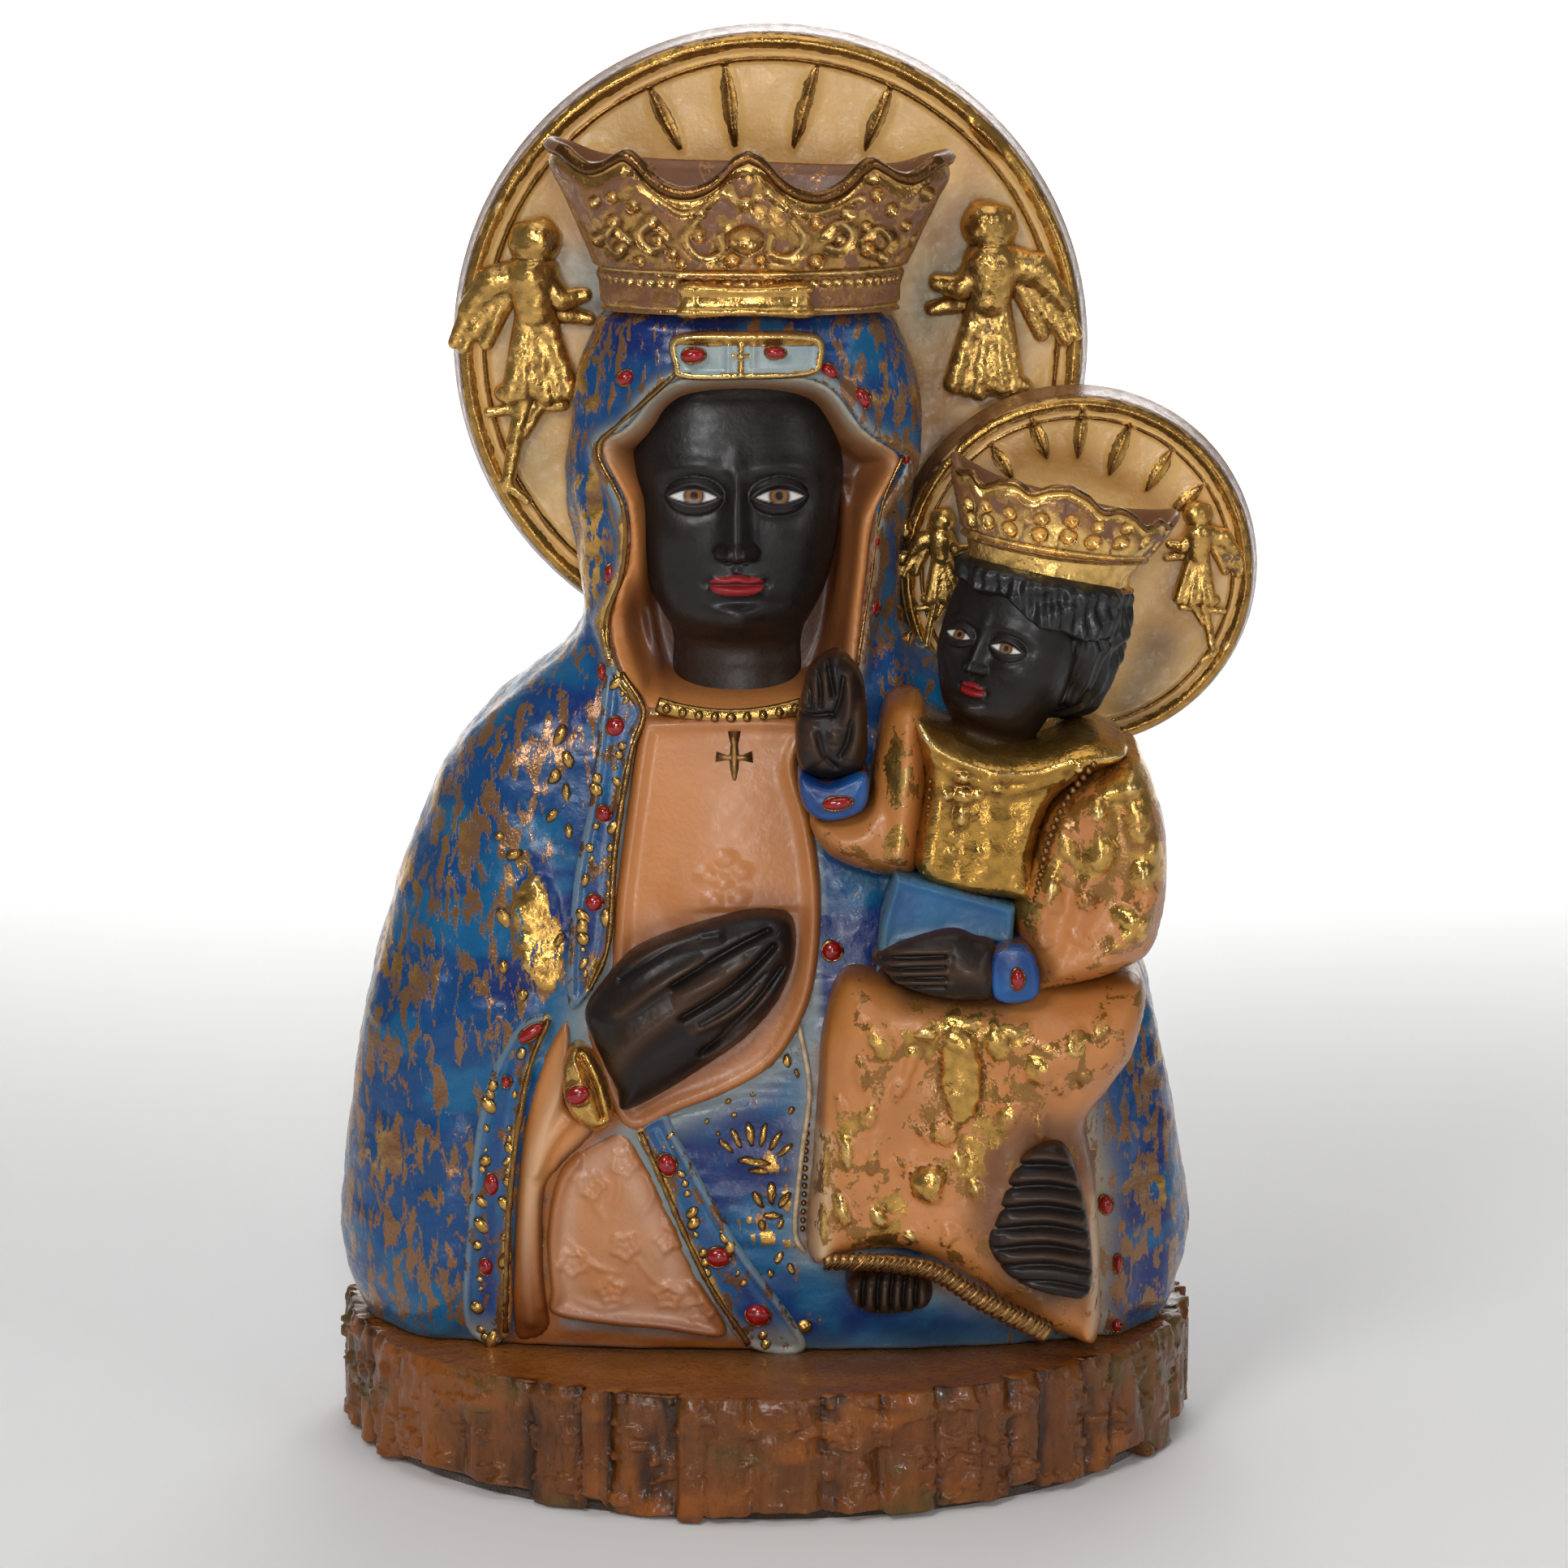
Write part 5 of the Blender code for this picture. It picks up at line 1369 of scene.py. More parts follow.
def make_halo(name, node, centre, radius, front, back, rings, rays, shades, seed):
    radii = np.concatenate([np.linspace(0.4, radius - 9, 62), np.linspace(radius - 8.6, radius - 0.5, 30),
                            radius + np.array([-0.2, 0.0, 0.15, 0.35, 0.7, 1.1, 1.4, 1.5, 1.2]),
                            np.linspace(radius - 1.5, 0.4, 16)])
    depth = np.concatenate([np.full(92, front), front + np.array([0.1, 0.5, 1.2, 2.6, 4.6, 6.4, 7.4, 7.8, 8.0]),
                            np.full(16, back)])
    angle = np.linspace(0, 2 * math.pi, 420, endpoint=False)
    grid = np.stack([centre[0] + radii[:, None] * np.cos(angle), depth[:, None] + 0 * angle,
                     centre[1] + radii[:, None] * np.sin(angle)], -1)
    x, y, z = grid.reshape(-1, 3).T.copy()
    at = np.repeat(radii, len(angle))
    row = np.repeat(np.arange(len(radii)), len(angle))
    turn = np.tile(angle, len(radii))
    face = row < 92
    wobble = 0.5 * (noise(turn * 12, 0 * turn, 5, seed) - 0.5)
    lift = 0.9 * (noise(x, z, 13, seed + 1) - 0.5) + 0.25 * (noise(x, z, 4, seed + 2) - 0.5)
    gold = np.full(len(x), 0.02)
    for gap, width, height in rings:
        line = bell(at - (radius - gap + wobble), width)
        lift += height * line
        gold = np.maximum(gold, 1.05 * line + 0.16 * (noise(turn * 20, at, 3, seed + 3) - 0.5))
    for ray in rays:
        far, along = to_line(x, z, ray)
        thick = 0.4 + 1.3 * np.sin(np.clip(along, 0, 1) * math.pi) ** 0.8
        lift += 1.3 * bell(far, thick)
        gold = np.maximum(gold, 1.1 * bell(far, thick * 1.05))
    y = y - lift * face
    edge = (row >= 92) & (row < 101)
    y += edge * 0.3 * (noise(turn * 30, at, 3, seed + 4) - 0.5)
    colour = mix(IVORY_FACE, (0.50, 0.30, 0.12), ease(noise(x, z, 26, seed + 5) * 1.4 - 0.5) * 0.5)
    for line, tone, reach, strength in shades:
        colour = mix(colour, tone, strength * bell(to_line(x, z, line)[0], reach) * face)
    colour = mix(colour, (0.17, 0.060, 0.026), edge * 0.9)
    colour = mix(colour, (0.46, 0.28, 0.14), (row >= 101) * 0.8)
    gold = np.where(face, gold, 0.10 + 0.28 * (edge & (row < 95)) + 0.16 * edge * noise(turn * 20, at, 4, seed + 6))
    ivory = painted_material(name + "_paint", 0.30, 0.25, (150, 1, 1), 0.4, 0.35)
    build(name + "_disc", np.stack([x, y, z], 1), tube_faces(len(radii), len(angle)), ivory, "ivory_resin",
          (node,), paint=colour, gold=gold)


def make_halos():
    olive, amber, grey = (0.22, 0.17, 0.06), (0.42, 0.18, 0.03), (0.34, 0.38, 0.36)
    shades = (
        (((-30, 236), (-36, 244), (-38, 250)), grey, 7, 0.85), (((-40, 225), (-38, 210), (-34, 200)), amber, 5, 0.6),
        (((34, 238), (36, 246), (40, 252)), olive, 7, 0.8), (((36, 225), (40, 210), (38, 196)), amber, 8, 0.75),
        (((-36, 255), (-44, 262), (-48, 274)), amber, 4, 0.6), (((36, 255), (44, 264), (44, 274)), amber, 4, 0.6),
        (((-52, 260), (-56, 245), (-50, 225), (-50, 205)), olive, 6, 0.45),
        (((50, 262), (56, 248), (50, 228)), olive, 7, 0.5), (((30, 270), (0, 274), (-30, 272)), amber, 4, 0.45),
        (((40, 205), (34, 185)), (0.10, 0.12, 0.08), 8, 0.7),
    )
    make_halo("halo", "halo", (1.4, 232.7), 66.5, 8.0, 16.0, ((1.9, 1.75, 1.7), (5.6, 0.7, 0.9)), RAYS, shades, 101)
    shades = (
        (((40, 196), (44, 206), (56, 212), (72, 208), (84, 200)), amber, 4, 0.7),
        (((36, 178), (38, 190), (46, 204)), grey, 5, 0.6), (((84, 172), (90, 184), (92, 196)), amber, 5, 0.6),
        (((78, 158), (84, 170)), (0.16, 0.10, 0.05), 5, 0.7),
    )
    make_halo("child_halo", "child_halo", (66.3, 186.5), 37.5, -6.0, 2.0, ((1.7, 1.55, 1.5), (4.6, 0.5, 0.7)),
              SMALL_RAYS, shades, 111)


# The child's clothes ------------------------------------------------------------------------

CHILD_ROBE = (
    (17, 109), (12.5, 98), (11.5, 86), (10.5, 72), (9.5, 49), (20, 51), (30, 51), (41, 46), (49, 40),
    (58, 33), (64, 29.5), (70.5, 29), (70.5, 45), (69, 66), (67, 78), (72, 86), (77, 95), (78, 108),
    (60, 108), (30, 108),
)
CHILD_TUNIC = (
    (30.5, 163.5), (33, 150), (31.5, 131), (50, 125.5), (55, 127), (56, 137), (61, 148),
    (74.5, 156), (66, 160), (56, 157), (46, 157), (38, 160.5),
)
CHILD_LEFT_SLEEVE = (
    (75, 156), (81, 146), (83, 134), (82, 120.5), (77, 112), (57, 106), (54.5, 111),
    (52, 117), (51, 125), (55, 135), (60, 146),
)
CHILD_RIGHT_SLEEVE = (
    (26, 165), (33, 165), (34, 151), (32, 131.5), (26, 129.5), (19, 131), (12.5, 134.5),
    (10, 142), (21, 145), (23, 155),
)
ROBE_LUMPS = (
    ((40.5, 91), (4.4, 10.4), 3.0, 4), ((33.6, 67.5), (3.9, 4.1), 3.2, 0), ((41.5, 103), (3.4, 2.2), 1.4, 0),
    ((37.5, 79), (3.0, 3.0), 1.6, 0), ((24, 98), (2.6, 4.8), 1.4, 20), ((30, 93), (1.5, 3.8), 1.2, -24),
    ((28, 88), (1.8, 3.2), 1.2, -30), ((20, 91), (1.5, 4.4), 1.2, 10), ((33, 78), (1.6, 2.4), 1.1, 30),
    ((17, 74), (1.5, 3.6), 1.2, 0), ((16.5, 62), (1.5, 3.8), 1.2, 10), ((24, 61), (1.8, 2.6), 1.3, 30),
    ((38, 57), (2.0, 2.6), 1.3, -30), ((44, 66), (1.7, 2.8), 1.1, 15), ((30, 56), (1.5, 2.2), 1.1, 0),
    ((50, 82), (2.0, 3.6), 1.2, -30), ((56, 92), (2.8, 3.0), 1.4, 20), ((64, 98), (2.8, 3.2), 1.4, -20),
    ((48, 98), (2.4, 4.2), 1.4, 10), ((57, 80), (1.8, 2.8), 1.2, 0), ((22, 82), (1.4, 2.6), 1.1, -10),
    ((66, 90), (1.8, 2.8), 1.2, 0), ((28, 71), (1.4, 2.2), 1.0, 20), ((40, 73), (1.5, 1.9), 1.0, 0),
    ((61, 88), (1.5, 2.2), 1.0, 30), ((52, 101), (3.2, 1.6), 1.2, 0), ((69, 101), (2.2, 2.2), 1.2, 0),
    ((33, 100), (2.6, 1.6), 1.2, 10), ((15.5, 84), (1.3, 2.6), 1.0, 0), ((22.5, 72), (1.3, 2.6), 1.0, 0),
)
SLEEVE_LUMPS = (
    ((73, 151), (4.4, 3.0), 1.2, 30), ((66, 146), (3.6, 2.4), 1.2, -30), ((76, 143), (2.6, 4.0), 1.2, 10),
    ((62, 138), (2.2, 4.0), 1.2, 10), ((69, 136), (2.6, 3.6), 1.2, -20), ((77, 132), (2.4, 3.4), 1.2, 0),
    ((59, 128), (2.2, 3.6), 1.2, 0), ((66, 127), (2.8, 2.4), 1.2, 20), ((73, 124), (3.0, 2.0), 1.2, -30),
    ((78, 121), (1.8, 2.6), 1.0, 0), ((65, 119), (2.8, 1.6), 1.0, -20), ((58, 118), (2.2, 1.4), 0.9, 0),
    ((70, 114), (2.4, 1.3), 0.9, 10), ((80, 137), (1.4, 2.6), 0.9, 0), ((57, 140), (1.2, 2.8), 0.9, -20),
)


def swell(depth, reach, height):
    """A pillow's rise with the distance from its edge."""
    t = np.clip(depth / reach, 0, 1)
    return height * np.sqrt(np.clip(1 - (1 - t) ** 2, 0, 1))


def cloth_panel(name, outline, base, reach, height, back, folds, lumps, node, paint, patches, seed, slot="peach_resin",
                material=None, tone=PEACH, step=0.7, edge_tone=AMBER, gold_base=0.22, sink=lambda x, z: 0.0,
                wander=2.0):
    """A pillowed panel with folds and gilded casts; patches are (line, reach, strength) of gold."""

    def ragged(x, z):
        return x + wander * (noise(x, z, 3.2, seed + 4) - 0.5), z + wander * (noise(x, z, 3.2, seed + 5) - 0.5)

    def front(x, z, depth):
        out = base - swell(depth, reach, height) + sink(x, z)
        for points, width, rise in folds:
            out -= ridge(x, z, points, width, rise)
        bumps = np.zeros(len(x))
        u, v = ragged(x, z)
        for lump in lumps:
            bumps = np.maximum(bumps, dome(u, v, *lump))
        return out - bumps - 0.9 * (noise(x, z, 8, seed) - 0.5) - 0.35 * (noise(x, z, 2.6, seed + 1) - 0.5)

    points, faces, depth = relief(outline, front, back, step, 1.0)
    x, y, z = points.T
    colour = mix(tone, tuple(0.86 * c for c in tone), noise(x, z, 14, seed + 2))
    colour = mix(colour, edge_tone, 0.75 * bell(depth, 1.5) + 0.25 * bell(depth, 4))
    # Each `paint` row lays a colour along a line; the callers use these rows for the cloth's own tones and for painted
    # shade.
    for line, shade, width, strength in paint:
        colour = mix(colour, shade, strength * bell(to_line(x, z, line)[0], width))
    gold = np.full(len(x), gold_base)
    for line, width, strength in patches:
        gold += strength * bell(to_line(x, z, line)[0], width)
    gold += 0.75 * (noise(x, z, 9, seed + 6) - 0.5)
    u, v = ragged(x, z)
    for lump in lumps:
        gold += 0.16 * ease(dome(u, v, *lump) / 0.5) * min(lump[2], 3.0)
    build(name, points, faces, material, slot, (node,), paint=colour, gold=gold)
    return front


def make_child_clothes():
    cloth = painted_material("child_cloth_paint", 0.36, 0.2, (210, 1.0, 0.9), 0.3, 0.8, (0.30, 0.135, 0.028))
    leaf = painted_material("tunic_paint", 0.34, 0.0, (230, 1.0, 1.0), 0.2, 0.35, leaf_tone=(0.54, 0.29, 0.055), polish=0.11)
    folds = (
        (((13, 105), (12.5, 86), (12.5, 66), (12, 52)), 1.5, 1.6),
        (((30, 104), (44, 100), (60, 96), (72, 96)), 6, 2.5),
        (((60, 94), (52, 84), (50, 70), (46, 58)), 6, 2.6),
        (((22, 104), (24, 88), (22, 70), (20, 55)), 5, 1.2),
        (((36, 84), (38, 70), (36, 56)), 5, 1.0), (((67, 60), (68.5, 46), (68, 32)), 1.8, 2.6),
        (((44, 44), (56, 38), (66, 33)), 4, 1.0),
    )
    # Colour laid on the robe: the three dark marks round and under the left hand, and the dark band along the robe's
    # top under the book and sleeves, are painted shade; the pale edges and the amber hem are the paint's own colour.
    shades = (
        (((48, 74), (46, 60), (52, 48), (60, 43), (68, 45)), (0.16, 0.055, 0.012), 5.0, 0.85),
        (((58, 74), (58, 60), (60, 48)), (0.02, 0.008, 0.004), 8.0, 0.97),
        (((55, 78), (62, 77), (67, 70)), (0.16, 0.055, 0.012), 4.0, 0.8),
        (((12.2, 76), (12, 52)), (0.66, 0.50, 0.30), 2.0, 0.8),
        (((24, 118), (30, 106), (48, 105)), (0.10, 0.045, 0.02), 3.0, 0.8),
        (((30, 44), (50, 34), (60, 28)), AMBER, 5, 0.7), (((68.6, 62), (69.5, 34)), (0.66, 0.45, 0.25), 1.6, 0.7),
    )
    patches = (
        (((40.5, 100), (40.5, 82)), 6, 0.36), (((30, 100), (22, 94), (22, 84)), 5, 0.22), (((52, 98), (66, 94)), 6, 0.20),
        (((56, 86), (48, 78), (42, 68)), 5, 0.24), (((16, 78), (15, 58), (30, 54)), 4, 0.28),
        (((24, 64), (34, 60), (42, 54)), 4, 0.24), (((12.4, 74), (12.2, 56)), 1.0, 0.25),
    )
    cloth_panel("child_robe_cloth", CHILD_ROBE, -49.0, 7, 11.0, -32.0, folds, ROBE_LUMPS, "child_robe", shades,
                patches, 121, material=cloth,
                sink=lambda x, z: 9.0 * ease((x - 40) / 26) * ease((56 - z) / 24) + 3.0 * ease((z - 98) / 10))

    folds = (
        (((31, 161), (38, 156.5), (46, 153.5), (55, 153.0), (64, 155.5), (73, 155)), 2.0, 1.8),
        (((32, 157), (40, 152.5), (50, 149.5), (60, 151.5)), 1.2, 0.9),
        (((64, 154), (60, 146), (56, 136), (54, 128)), 1.1, 1.0), (((36, 152), (35, 140), (35, 131)), 3, 1.0),
        (((46, 153), (45, 140), (44, 130)), 4, 1.0),
    )
    cross = [((40.5, 152), (1.5, 1.5), 1.2, 45), ((40.5, 148.2), (2.0, 2.0), 1.5, 45), ((40.2, 144), (1.4, 2.4), 1.2, 0),
             ((37.6, 148.2), (1.3, 1.3), 1.0, 45), ((43.4, 148.4), (1.3, 1.3), 1.0, 45)]
    beads = [((64.5 - 0.97 * k * 1.0, 153.5 - 2.35 * k), (0.75, 0.8), 0.9, 0) for k in range(11)]
    random = np.random.default_rng(7)
    grains = [((random.uniform(33, 56), random.uniform(130, 152)), (random.uniform(0.5, 1.2),) * 2, 0.6, 0)
              for _ in range(7)]
    cloth_panel("child_tunic_cloth", CHILD_TUNIC, -49.5, 3.5, 7.5, -26.0, folds, cross + beads + grains, "child_tunic",
                (), ((((30, 163), (60, 157)), 30, 0.50),), 131, "gold_paint", leaf, (0.20, 0.085, 0.018),
                0.6, (0.12, 0.04, 0.01), 0.62, wander=0.6)

    folds = (
        (((78, 150), (79, 138), (77, 124), (68, 114)), 4, 2.0), (((60, 144), (58, 130), (56, 118)), 2.0, 1.4),
        (((68, 148), (68, 136), (64, 122), (60, 112)), 2.4, 1.4), (((80, 128), (72, 118), (62, 112)), 2.0, 1.0),
    )
    patches = ((((76, 154), (72, 144), (66, 134)), 5, 0.30), (((60, 142), (56, 130), (54, 120)), 3, 0.20),
               (((81, 142), (79, 130), (74, 122)), 4, 0.28), (((70, 152), (80, 146)), 4, 0.26))
    # The dark mark along the sleeve's lower left edge, by the cuff and the book, is painted shade.
    cloth_panel("child_left_sleeve_cloth", CHILD_LEFT_SLEEVE, -48.0, 7, 11.5, -26.0, folds, SLEEVE_LUMPS,
                "child_left_sleeve", ((((53, 122), (58, 112)), (0.16, 0.055, 0.012), 3, 0.6),), patches, 141,
                material=cloth, gold_base=0.28)

    folds = ((((29.5, 164), (29.5, 150), (28, 136)), 2.6, 2.2), (((22, 150), (22, 140), (16, 137)), 2.2, 1.2))
    patches = ((((26.6, 158), (27.4, 146), (27, 136)), 3.2, 0.5),)
    # The dark band along the sleeve's lower edge is painted shade.
    cloth_panel("child_right_sleeve_cloth", CHILD_RIGHT_SLEEVE, -45.5, 7, 9.5, -30.0, folds, (), "child_right_sleeve",
                ((((12, 136), (20, 131), (30, 130)), (0.16, 0.07, 0.03), 2.5, 0.7),), patches, 151, material=cloth)

    book = ((27.0, 132), (51.5, 125.0), (51, 117.0), (40, 119), (28, 117.5), (23.2, 111.5), (24.2, 122))
    cover = painted_material("book_paint", 0.36, 0.1, (160, 1, 1), 0.3, 0.5)

    def book_front(x, z, depth):
        return -58.5 - 0.4 * bell(depth - 1.0, 0.9) + 0.05 * (x - 24) - 0.4 * (noise(x, z, 5, 161) - 0.5)

    points, faces, depth = relief(book, book_front, -46.0, 0.6, 0.8, smooth=False)
    x, y, z = points.T
    colour = mix((0.008, 0.15, 0.32), BLUE, noise(x, z, 9, 162))
    colour = mix(colour, (0.07, 0.14, 0.15), 0.5 * bell(depth, 1.0) + 0.4 * bell(z - 117, 4))
    build("child_book_cover", points, faces, cover, "blue_paint", ("child_book",), paint=colour,
          gold=0.16 + 0.2 * bell(depth, 0.6))

    for name, node, outline, base in (
        ("child_left_cuff_band", "child_left_cuff", ((46.8, 116.8), (54.5, 117.4), (56.2, 107.2), (47.2, 106.6)), -60.0),
        ("child_right_cuff_band", "child_right_cuff",
         ((7.4, 151.6), (13.5, 149.9), (21.0, 152.2), (20.7, 144.8), (13.5, 142.3), (8.6, 144.8)), -53.8),
    ):
        ring = respace(curve(outline, True), 1, True)

        def front(x, z, depth):
            return base - swell(depth, 4, 3.2) - 0.5 * bell(depth - 0.8, 0.6) - 0.3 * (noise(x, z, 3, 163) - 0.5)

        points, faces, depth = relief(outline, front, base + 14, 0.5, 0.8)
        x, y, z = points.T
        colour = mix(DEEP_BLUE, (0.006, 0.09, 0.30), 1.2 * noise(x, z, 5, 164))
        build(name, points, faces, cover, "blue_paint", (node,), paint=colour, gold=0.2 + 0.25 * bell(depth, 0.7))


def make_trims():
    """The bracelet, the necklace, the cross, the rope hem and rows of small beads."""
    cuff = ((-38.6, 93.6), (-35.8, 92.0), (-33.2, 88.0), (-31.0, 81.0), (-31.6, 76.6), (-35.0, 74.8), (-39.2, 77.4),
            (-41.6, 82.0), (-41.8, 88.0), (-40.6, 92.0))

    def front(x, z, depth):
        out = -45.5 - swell(depth, 4.2, 5.6) - ridge(x, z, ((-36.4, 92), (-33.8, 86), (-31.8, 78)), 0.7, 1.4)
        out -= ridge(x, z, ((-39.4, 92), (-38.4, 89), (-37.8, 87)), 0.8, 0.9) + dome(x, z, (-38.3, 84.1), (3.3, 2.9), 1.0)
        return out + ridge(x, z, ((-38, 91.5), (-35.6, 86), (-33.6, 79)), 0.8, 1.5)

    points, faces, depth = relief(cuff, front, -38.5, 0.45, 0.8)
    build("right_cuff_ring", points, faces, leaf_gold, "gold_paint", ("right_cuff",))

    x = np.linspace(-22, 8, 46)
    z = 160.8 + 0.010 * (x + 7) ** 2 - 0.6
    y = mantle_form(x, z) - 2.4
    band = np.stack([x, y, z], 1)
    parts = [strand(band, 1.7, 12, 0.6)]
    for k in range(9):
        spot = band[3 + k * 5]
        parts.append(stud(spot - (0, 1.0, 0), (1.0 + 0.2 * (k == 4), 1.0, 1.1), 0, 14, 6))
    points, faces = merge(parts)
    build("necklace_band", points, faces, leaf_gold, "gold_paint", ("necklace",))

    parts = []
    for line, radii in (
        (((-6.0, 157.2), (-6.0, 154.6), (-6.0, 151.8), (-6.0, 148.0), (-6.0, 144.2)), (1.5, 0.9, 1.2, 1.0, 0.45)),
        (((-9.8, 152.0), (-7.6, 151.8), (-6.0, 151.8), (-4.4, 151.8), (-2.2, 152.0)), (1.3, 0.8, 1.1, 0.8, 1.3)),
    ):
        x, z = np.array(line).T
        parts.append(strand(np.stack([x, mantle_form(x, z) - 2.1, z], 1), radii, 10, 0.8))
    points, faces = merge(parts)
    build("pendant_cross_cast", points, faces, dull_gold, "gold_paint", ("pendant_cross",))

    rope = np.array(((13, -58.5, 50.4), (20, -61.5, 51.2), (28, -62.5, 51.0), (36, -62.5, 49.2), (44.5, -62.0, 43.6),
                     (52, -60.5, 39.2), (58.5, -57.5, 35.0)))
    line = respace(curve(rope), 0.55)
    twist = 1.7 + 0.7 * np.linspace(0, 1, len(line)) + 0.3 * np.sin(np.arange(len(line)) * 1.9)
    parts = [strand(line, twist, 14, 0.8)]
    for k in range(1, len(line) - 2, 2):
        a, b = line[k], line[k + 1]
        parts.append(strand(np.array([a + (-0.9, -1.25, -1.3), (a + b) / 2 + (0.3, -1.65, 0.0), b + (1.2, -1.2, 1.3)]), 0.32, 6))
    points, faces = merge(parts)
    build("robe_hem_rope", points, faces, dull_gold, "gold_paint", ("robe_hem",))

    parts = []
    for line, gap, size in (
        (((9.2, 78), (8.7, 66), (8.2, 54)), 1.9, 0.62), (((34, 151), (33.4, 141), (32.8, 132)), 1.8, 0.5),
        (((13.5, 72), (15, 60)), 2.4, 0.6), (((67, 155), (61, 146.5), (57.5, 137), (55.6, 127)), 1.7, 0.75),
    ):
        for x, z in respace(curve(line), gap):
            y = float(mantle_front(x, z)[0]) - 0.3 if x < 12 else -56.0 - 2.4 * (x > 50)
            parts.append(stud((x, y, z), (size, size, size * 1.1), 0, 10, 5))
    points, faces = merge(parts)
    build("bead_rows", points, faces, dull_gold, "gold_paint")
    tip = [strand(np.stack([x, mantle_front(x, z) - 0.6, z], 1), 0.55, 8)
           for x, z in (respace(curve(((7.2, 98), (9.6, 84), (8.0, 70), (6.6, 54), (8.5, 49))), 1.0).T,)]
    points, faces = merge(tip)
    build("robe_edge_bead", points, faces, cream_paint, "peach_resin")


# The base -----------------------------------------------------------------------------------


def make_base():
    """A slab of bark: upright plates of uneven width, foot height and stand round a ringed top."""
    count = 760
    random = np.random.default_rng(201)
    angle = np.linspace(0, 2 * math.pi, count, endpoint=False)
    breaks = np.cumsum(random.uniform(0.35, 1.5, 44))
    breaks = breaks / breaks[-1] * 2 * math.pi
    plate = np.searchsorted(breaks, angle, side="right") % 44
    start = np.concatenate([[0], breaks])[plate]
    along = (angle - start) / (breaks[plate] - start)
    crest = 1 - np.abs(2 * along - 1) ** 3
    stand = random.uniform(-1.1, 1.1, 44)[plate] + 1.6 * crest
    foot = 0.6 + np.where(random.random(44) < 0.5, random.uniform(0, 1.4, 44), random.uniform(1.8, 5.0, 44))[plate]
    foot = foot + 0.8 * (noise(angle * 40, 0 * angle, 3, 202) - 0.5)
    depth = np.where(np.sin(angle) < 0, 79.0, 36.0)
    rim_x, rim_y = 91.4 * np.cos(angle), (depth - 1.6) * np.sin(angle)
    side = np.array([0, 0, *np.linspace(0, 1, 78), *np.full(26, 1.0)])
    pull = np.array([0.02, 0.95, *np.full(78, 1.0), *np.linspace(0.985, 0.03, 26)])
    rows = []
    for share, keep in zip(side, pull):
        z = foot + (26.2 - foot) * share if keep == 1.0 else np.full(count, 26.2 if share else 1.6)
        rows.append(np.stack([rim_x * keep, rim_y * keep, z], 1))
    flat = np.stack(rows).reshape(-1, 3)
    wall = np.repeat(pull == 1.0, count)
    top = np.repeat((pull < 1.0) & (side == 1.0), count)
    turn = np.tile(angle, len(side)) * 15
    x, y, z = flat.T.copy()
    bark = np.tile(stand, len(side)) - 1.0
    bark += 2.6 * (noise(turn * 5, z * 0.2, 3.0, 204) - 0.5) + 2.0 * (noise(turn * 6, z * 0.7, 5.0, 205) - 0.5)
    bark += 1.0 * ease((noise(turn * 4, z * 0.8, 2.6, 214) - 0.58) * 8) - 0.9 * bell(z - 26.2, 1.2)
    bark = np.clip(bark, -2.6, 1.5) * wall
    share = np.minimum(bark, 1.5) / np.hypot(x, y).clip(30)
    x, y = x * (1 + share), y * (1 + share)
    keep = np.repeat(pull, count)
    rings = 0.16 * np.sin(keep * 190 + 7 * noise(x, y, 30, 207)) + 0.35 * (noise(x, y * 3, 6, 208) - 0.5)
    z = z + top * (rings + 1.1 * ease((keep - 0.90) / 0.08) * (noise(turn * 3, keep * 9, 1.5, 209) - 0.3))
    z = np.where(wall & (z > 25.5), z + 0.8 * noise(turn * 3, 0 * z, 1.5, 210), z)
    z = np.minimum(z, 27.2)
    x, y = np.maximum(x, -92.2), np.clip(y, -78.9, 35.1)
    tone = mix(BARK, (0.105, 0.036, 0.006), noise(turn * 2, z, 8, 211))
    tone = mix(tone, (0.085, 0.060, 0.008), ease((noise(turn * 3, z, 12, 212) - 0.52) * 5) * 0.75)
    tone = mix(tone, (0.27, 0.074, 0.004), ease((noise(turn * 3, z + 30, 9, 213) - 0.52) * 5) * 0.85)
    tone = mix(tone, (0.022, 0.008, 0.002), wall * ease((-0.1 - bark) / 1.3) * 0.9)
    line = 0.5 + 0.5 * np.sin(keep * 190 + 7 * noise(x, y, 30, 207))
    deck = mix((0.33, 0.112, 0.020), (0.23, 0.080, 0.015), line)
    deck = mix(deck, (0.30, 0.085, 0.010), ease((keep - 0.8) / 0.15) * 0.8)
    front_edge = -44.0 * np.sqrt(np.clip(1 - (x / 92) ** 2, 0, 1))
    deck = mix(deck, (0.075, 0.075, 0.045), 0.6 * bell(np.maximum(front_edge - y, 0), 4) * (y < 0))
    tone = np.where(top[:, None], deck, tone)
    flat = np.stack([x, y, z], 1)
    build("base_bark", flat, tube_faces(len(side), count), bark_material(), "bark_paint", ("base_block",), paint=tone)


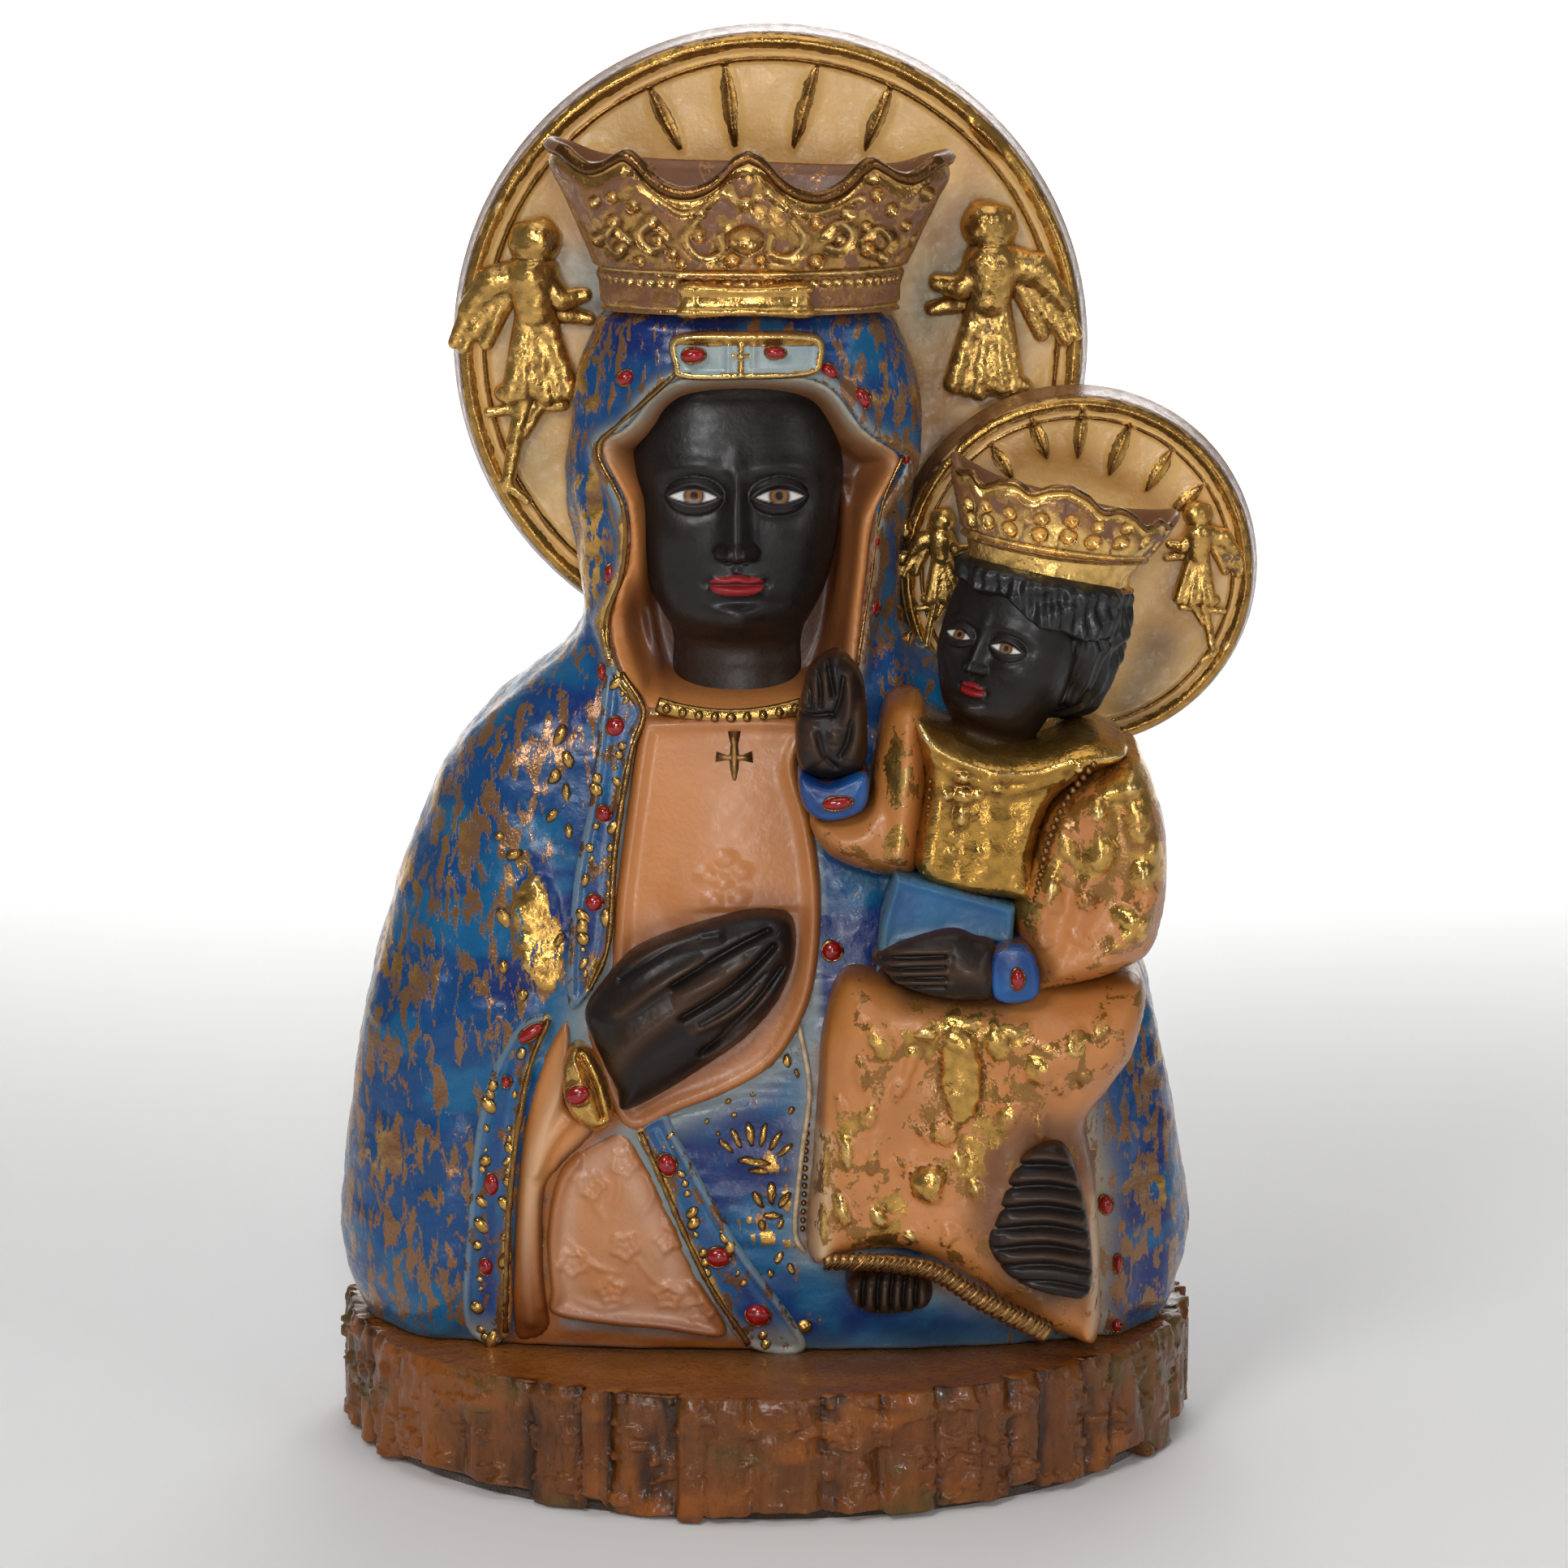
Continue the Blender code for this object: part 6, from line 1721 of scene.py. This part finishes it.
def bark_material():
    n = Nodes("bark_paint")
    paint = n.attribute("paint", "Color")
    streak = n.grain(90, 5, 0.4, (3.0, 3.0, 0.7))
    colour = n.blend(n.span(streak, 0.4, 0.65, 0.0, 0.5), paint, (0.22, 0.068, 0.012))
    colour = n.blend(n.span(n.grain(420, 4, 0.2, (2, 2, 0.8)), 0.55, 0.72, 0.0, 0.45), colour, (0.045, 0.015, 0.004))
    point = n.add("NewGeometry").outputs["Pointiness"]
    colour = n.blend(n.span(point, 0.53, 0.66, 0.0, 0.45), colour, (0.42, 0.19, 0.055))
    n.shader.inputs["Specular IOR Level"].default_value = 0.28
    n.feed(n.shader.inputs["Base Color"], colour)
    n.feed(n.shader.inputs["Roughness"], n.span(n.grain(260, 4), 0.35, 0.65, 0.16, 0.46))
    n.shader.inputs["Coat Weight"].default_value = 0.28
    n.shader.inputs["Coat Roughness"].default_value = 0.12
    height = n.math("ADD", n.grain(500, 5, 0.3, (1.6, 1.6, 0.6)), n.math("MULTIPLY", n.grain(1500, 3), 0.4))
    bump = n.add("Bump", {"Strength": 0.55, "Distance": 0.0007, "Height": height})
    n.feed(n.shader.inputs["Normal"], bump.outputs[0])
    return n.material


def felt_material():
    n = Nodes("felt_pile")
    fibre = n.grain(2400, 4, 1.2, (1, 1, 0.5))
    n.feed(n.shader.inputs["Base Color"], n.blend(n.span(fibre, 0.3, 0.7), (0.035, 0.022, 0.014), (0.07, 0.045, 0.03)))
    n.shader.inputs["Roughness"].default_value = 0.95
    n.shader.inputs["Sheen Weight"].default_value = 0.5
    bump = n.add("Bump", {"Strength": 0.8, "Distance": 0.0004, "Height": fibre})
    n.feed(n.shader.inputs["Normal"], bump.outputs[0])
    return n.material


def gold_material(name, bright, dark, roughness, scale=420, patina=0.5):
    """Gold paint: bright where it is raised, darkened in the hollows by painted shade."""
    n = Nodes(name)
    point = n.add("NewGeometry").outputs["Pointiness"]
    tone = n.blend(n.span(n.grain(scale, 5, 0.5), 0.35, 0.68, 0.0, patina), bright, dark)
    # Painted shade in the hollows, read from the surface's pointiness.
    tone = n.blend(n.span(point, 0.50, 0.42, 0.0, 0.85), tone, (0.11, 0.045, 0.016))
    n.feed(n.shader.inputs["Base Color"], tone)
    n.shader.inputs["Metallic"].default_value = 0.9
    n.feed(n.shader.inputs["Roughness"], n.span(n.grain(scale * 1.4, 4), 0.3, 0.7, roughness - 0.05, roughness + 0.13))
    height = n.math("ADD", n.grain(700, 3), n.math("MULTIPLY", n.grain(2200, 2), 0.3))
    bump = n.add("Bump", {"Strength": 0.4, "Distance": 0.0004, "Height": height})
    n.feed(n.shader.inputs["Normal"], bump.outputs[0])
    return n.material


# The studio ---------------------------------------------------------------------------------


def make_studio():
    mesh = bpy.data.meshes.new("backdrop")
    profile = [(-3.0, 0.0), (0.6, 0.0), (1.1, 0.05), (1.45, 0.25), (1.6, 0.6), (1.6, 3.5)]
    corners = [(x, y, z) for y, z in profile for x in (-3.5, 3.5)]
    mesh.from_pydata(corners, [], [(2 * i, 2 * i + 1, 2 * i + 3, 2 * i + 2) for i in range(len(profile) - 1)])
    mesh.shade_smooth()
    n = Nodes("backdrop")
    n.feed(n.shader.inputs["Base Color"], n.blend(n.grain(6, 2), (0.86, 0.86, 0.86), (0.90, 0.90, 0.90)))
    n.shader.inputs["Roughness"].default_value = 0.9
    mesh.materials.append(n.material)
    backdrop = bpy.data.objects.new("backdrop", mesh)
    bpy.context.scene.collection.objects.link(backdrop)

    world = bpy.data.worlds.new("studio")
    world.use_nodes = True
    world.node_tree.nodes["Background"].inputs["Color"].default_value = (1.0, 0.98, 0.96, 1.0)
    world.node_tree.nodes["Background"].inputs["Strength"].default_value = 0.16
    bpy.context.scene.world = world
    for name, place, size, power in (
        ("key", (-0.50, -1.10, 0.95), 0.36, 6.2), ("front", (0.06, -1.35, 0.52), 0.08, 2.6),
        ("low", (0.0, -1.45, 0.07), 0.26, 1.9), ("wall", (0.0, 0.7, 1.6), 1.2, 14.0),
        ("fill", (0.9, -0.8, 0.55), 0.5, 1.6), ("top", (0.0, -0.1, 1.3), 0.8, 2.6), ("back", (0.2, 1.2, 0.9), 0.9, 5.0),
    ):
        light = bpy.data.lights.new(name, "AREA")
        light.energy, light.size = power, size
        if name == "wall":
            light.spread = 1.5
        lamp = bpy.data.objects.new(name, light)
        lamp.location = place
        aim = Vector((0, 1.6, 0.3)) if name == "wall" else Vector((0, 0, 0.15))
        lamp.rotation_euler = (aim - Vector(place)).to_track_quat("-Z", "Y").to_euler()
        bpy.context.scene.collection.objects.link(lamp)

    camera = bpy.data.cameras.new("camera")
    camera.lens = 111.8
    camera.sensor_width = 36.0
    view = bpy.data.objects.new("camera", camera)
    view.location = (0.0043, -1.0272, 0.3392)
    view.rotation_euler = (math.radians(79.0), 0.0, 0.0)
    bpy.context.scene.collection.objects.link(view)
    bpy.context.scene.camera = view
    bpy.context.scene.view_settings.view_transform = "Standard"


IVORY_FACE = (0.78, 0.47, 0.155)
PRAYING_HAND = (
    (6, 119.5), (1, 121.5), (-5, 121), (-17, 117.5), (-27, 113), (-33, 106.5),
    (-37, 100), (-35.5, 94), (-31, 84), (-29.5, 79), (-22, 82), (-11, 89),
    (-3, 95), (3, 102), (6.5, 111),
)
PRAYING_RING = respace(curve(PRAYING_HAND, True), 1.5, True)
leaf_gold = gold_material("leaf_gold", (0.72, 0.43, 0.12), (0.36, 0.17, 0.04), 0.17)
dull_gold = gold_material("dull_gold", (0.55, 0.31, 0.10), (0.24, 0.10, 0.035), 0.32)
crown_gold = painted_material("crown_gold", 0.40, 0.0, (190, 1.0, 0.7), 0.3, 0.55, (0.29, 0.130, 0.045), 0.4,
                              (0.56, 0.31, 0.085), 0.13)
small_crown_gold = painted_material("small_crown_gold", 0.36, 0.0, (190, 1.0, 0.7), 0.3, 0.4,
                                    (0.30, 0.14, 0.045), 0.4, (0.86, 0.53, 0.16), 0.16)
angel_gold = painted_material("angel_gold", 0.36, 0.0, (300, 1.0, 1.0), 0.3, 0.5, leaf_tone=(0.70, 0.41, 0.11), polish=0.14)
border_paint = painted_material("border_paint", 0.32, 0.08, (260, 1.4, 0.8), 0.5, 0.7)
cream_paint = glossy_paint("cream_paint", (0.62, 0.46, 0.28), 0.36, 0.2)

make_cloak()
make_casts()
make_veil()
make_dress()
make_skirt()
make_sleeve_lining()
make_borders()
make_crowns()
make_heads()
make_hands()
make_angels()
make_halos()
make_child_clothes()
make_trims()
make_jewels()
make_base()
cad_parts["base_pad"].data.materials.clear()
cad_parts["base_pad"].data.materials.append(felt_material())
make_studio()
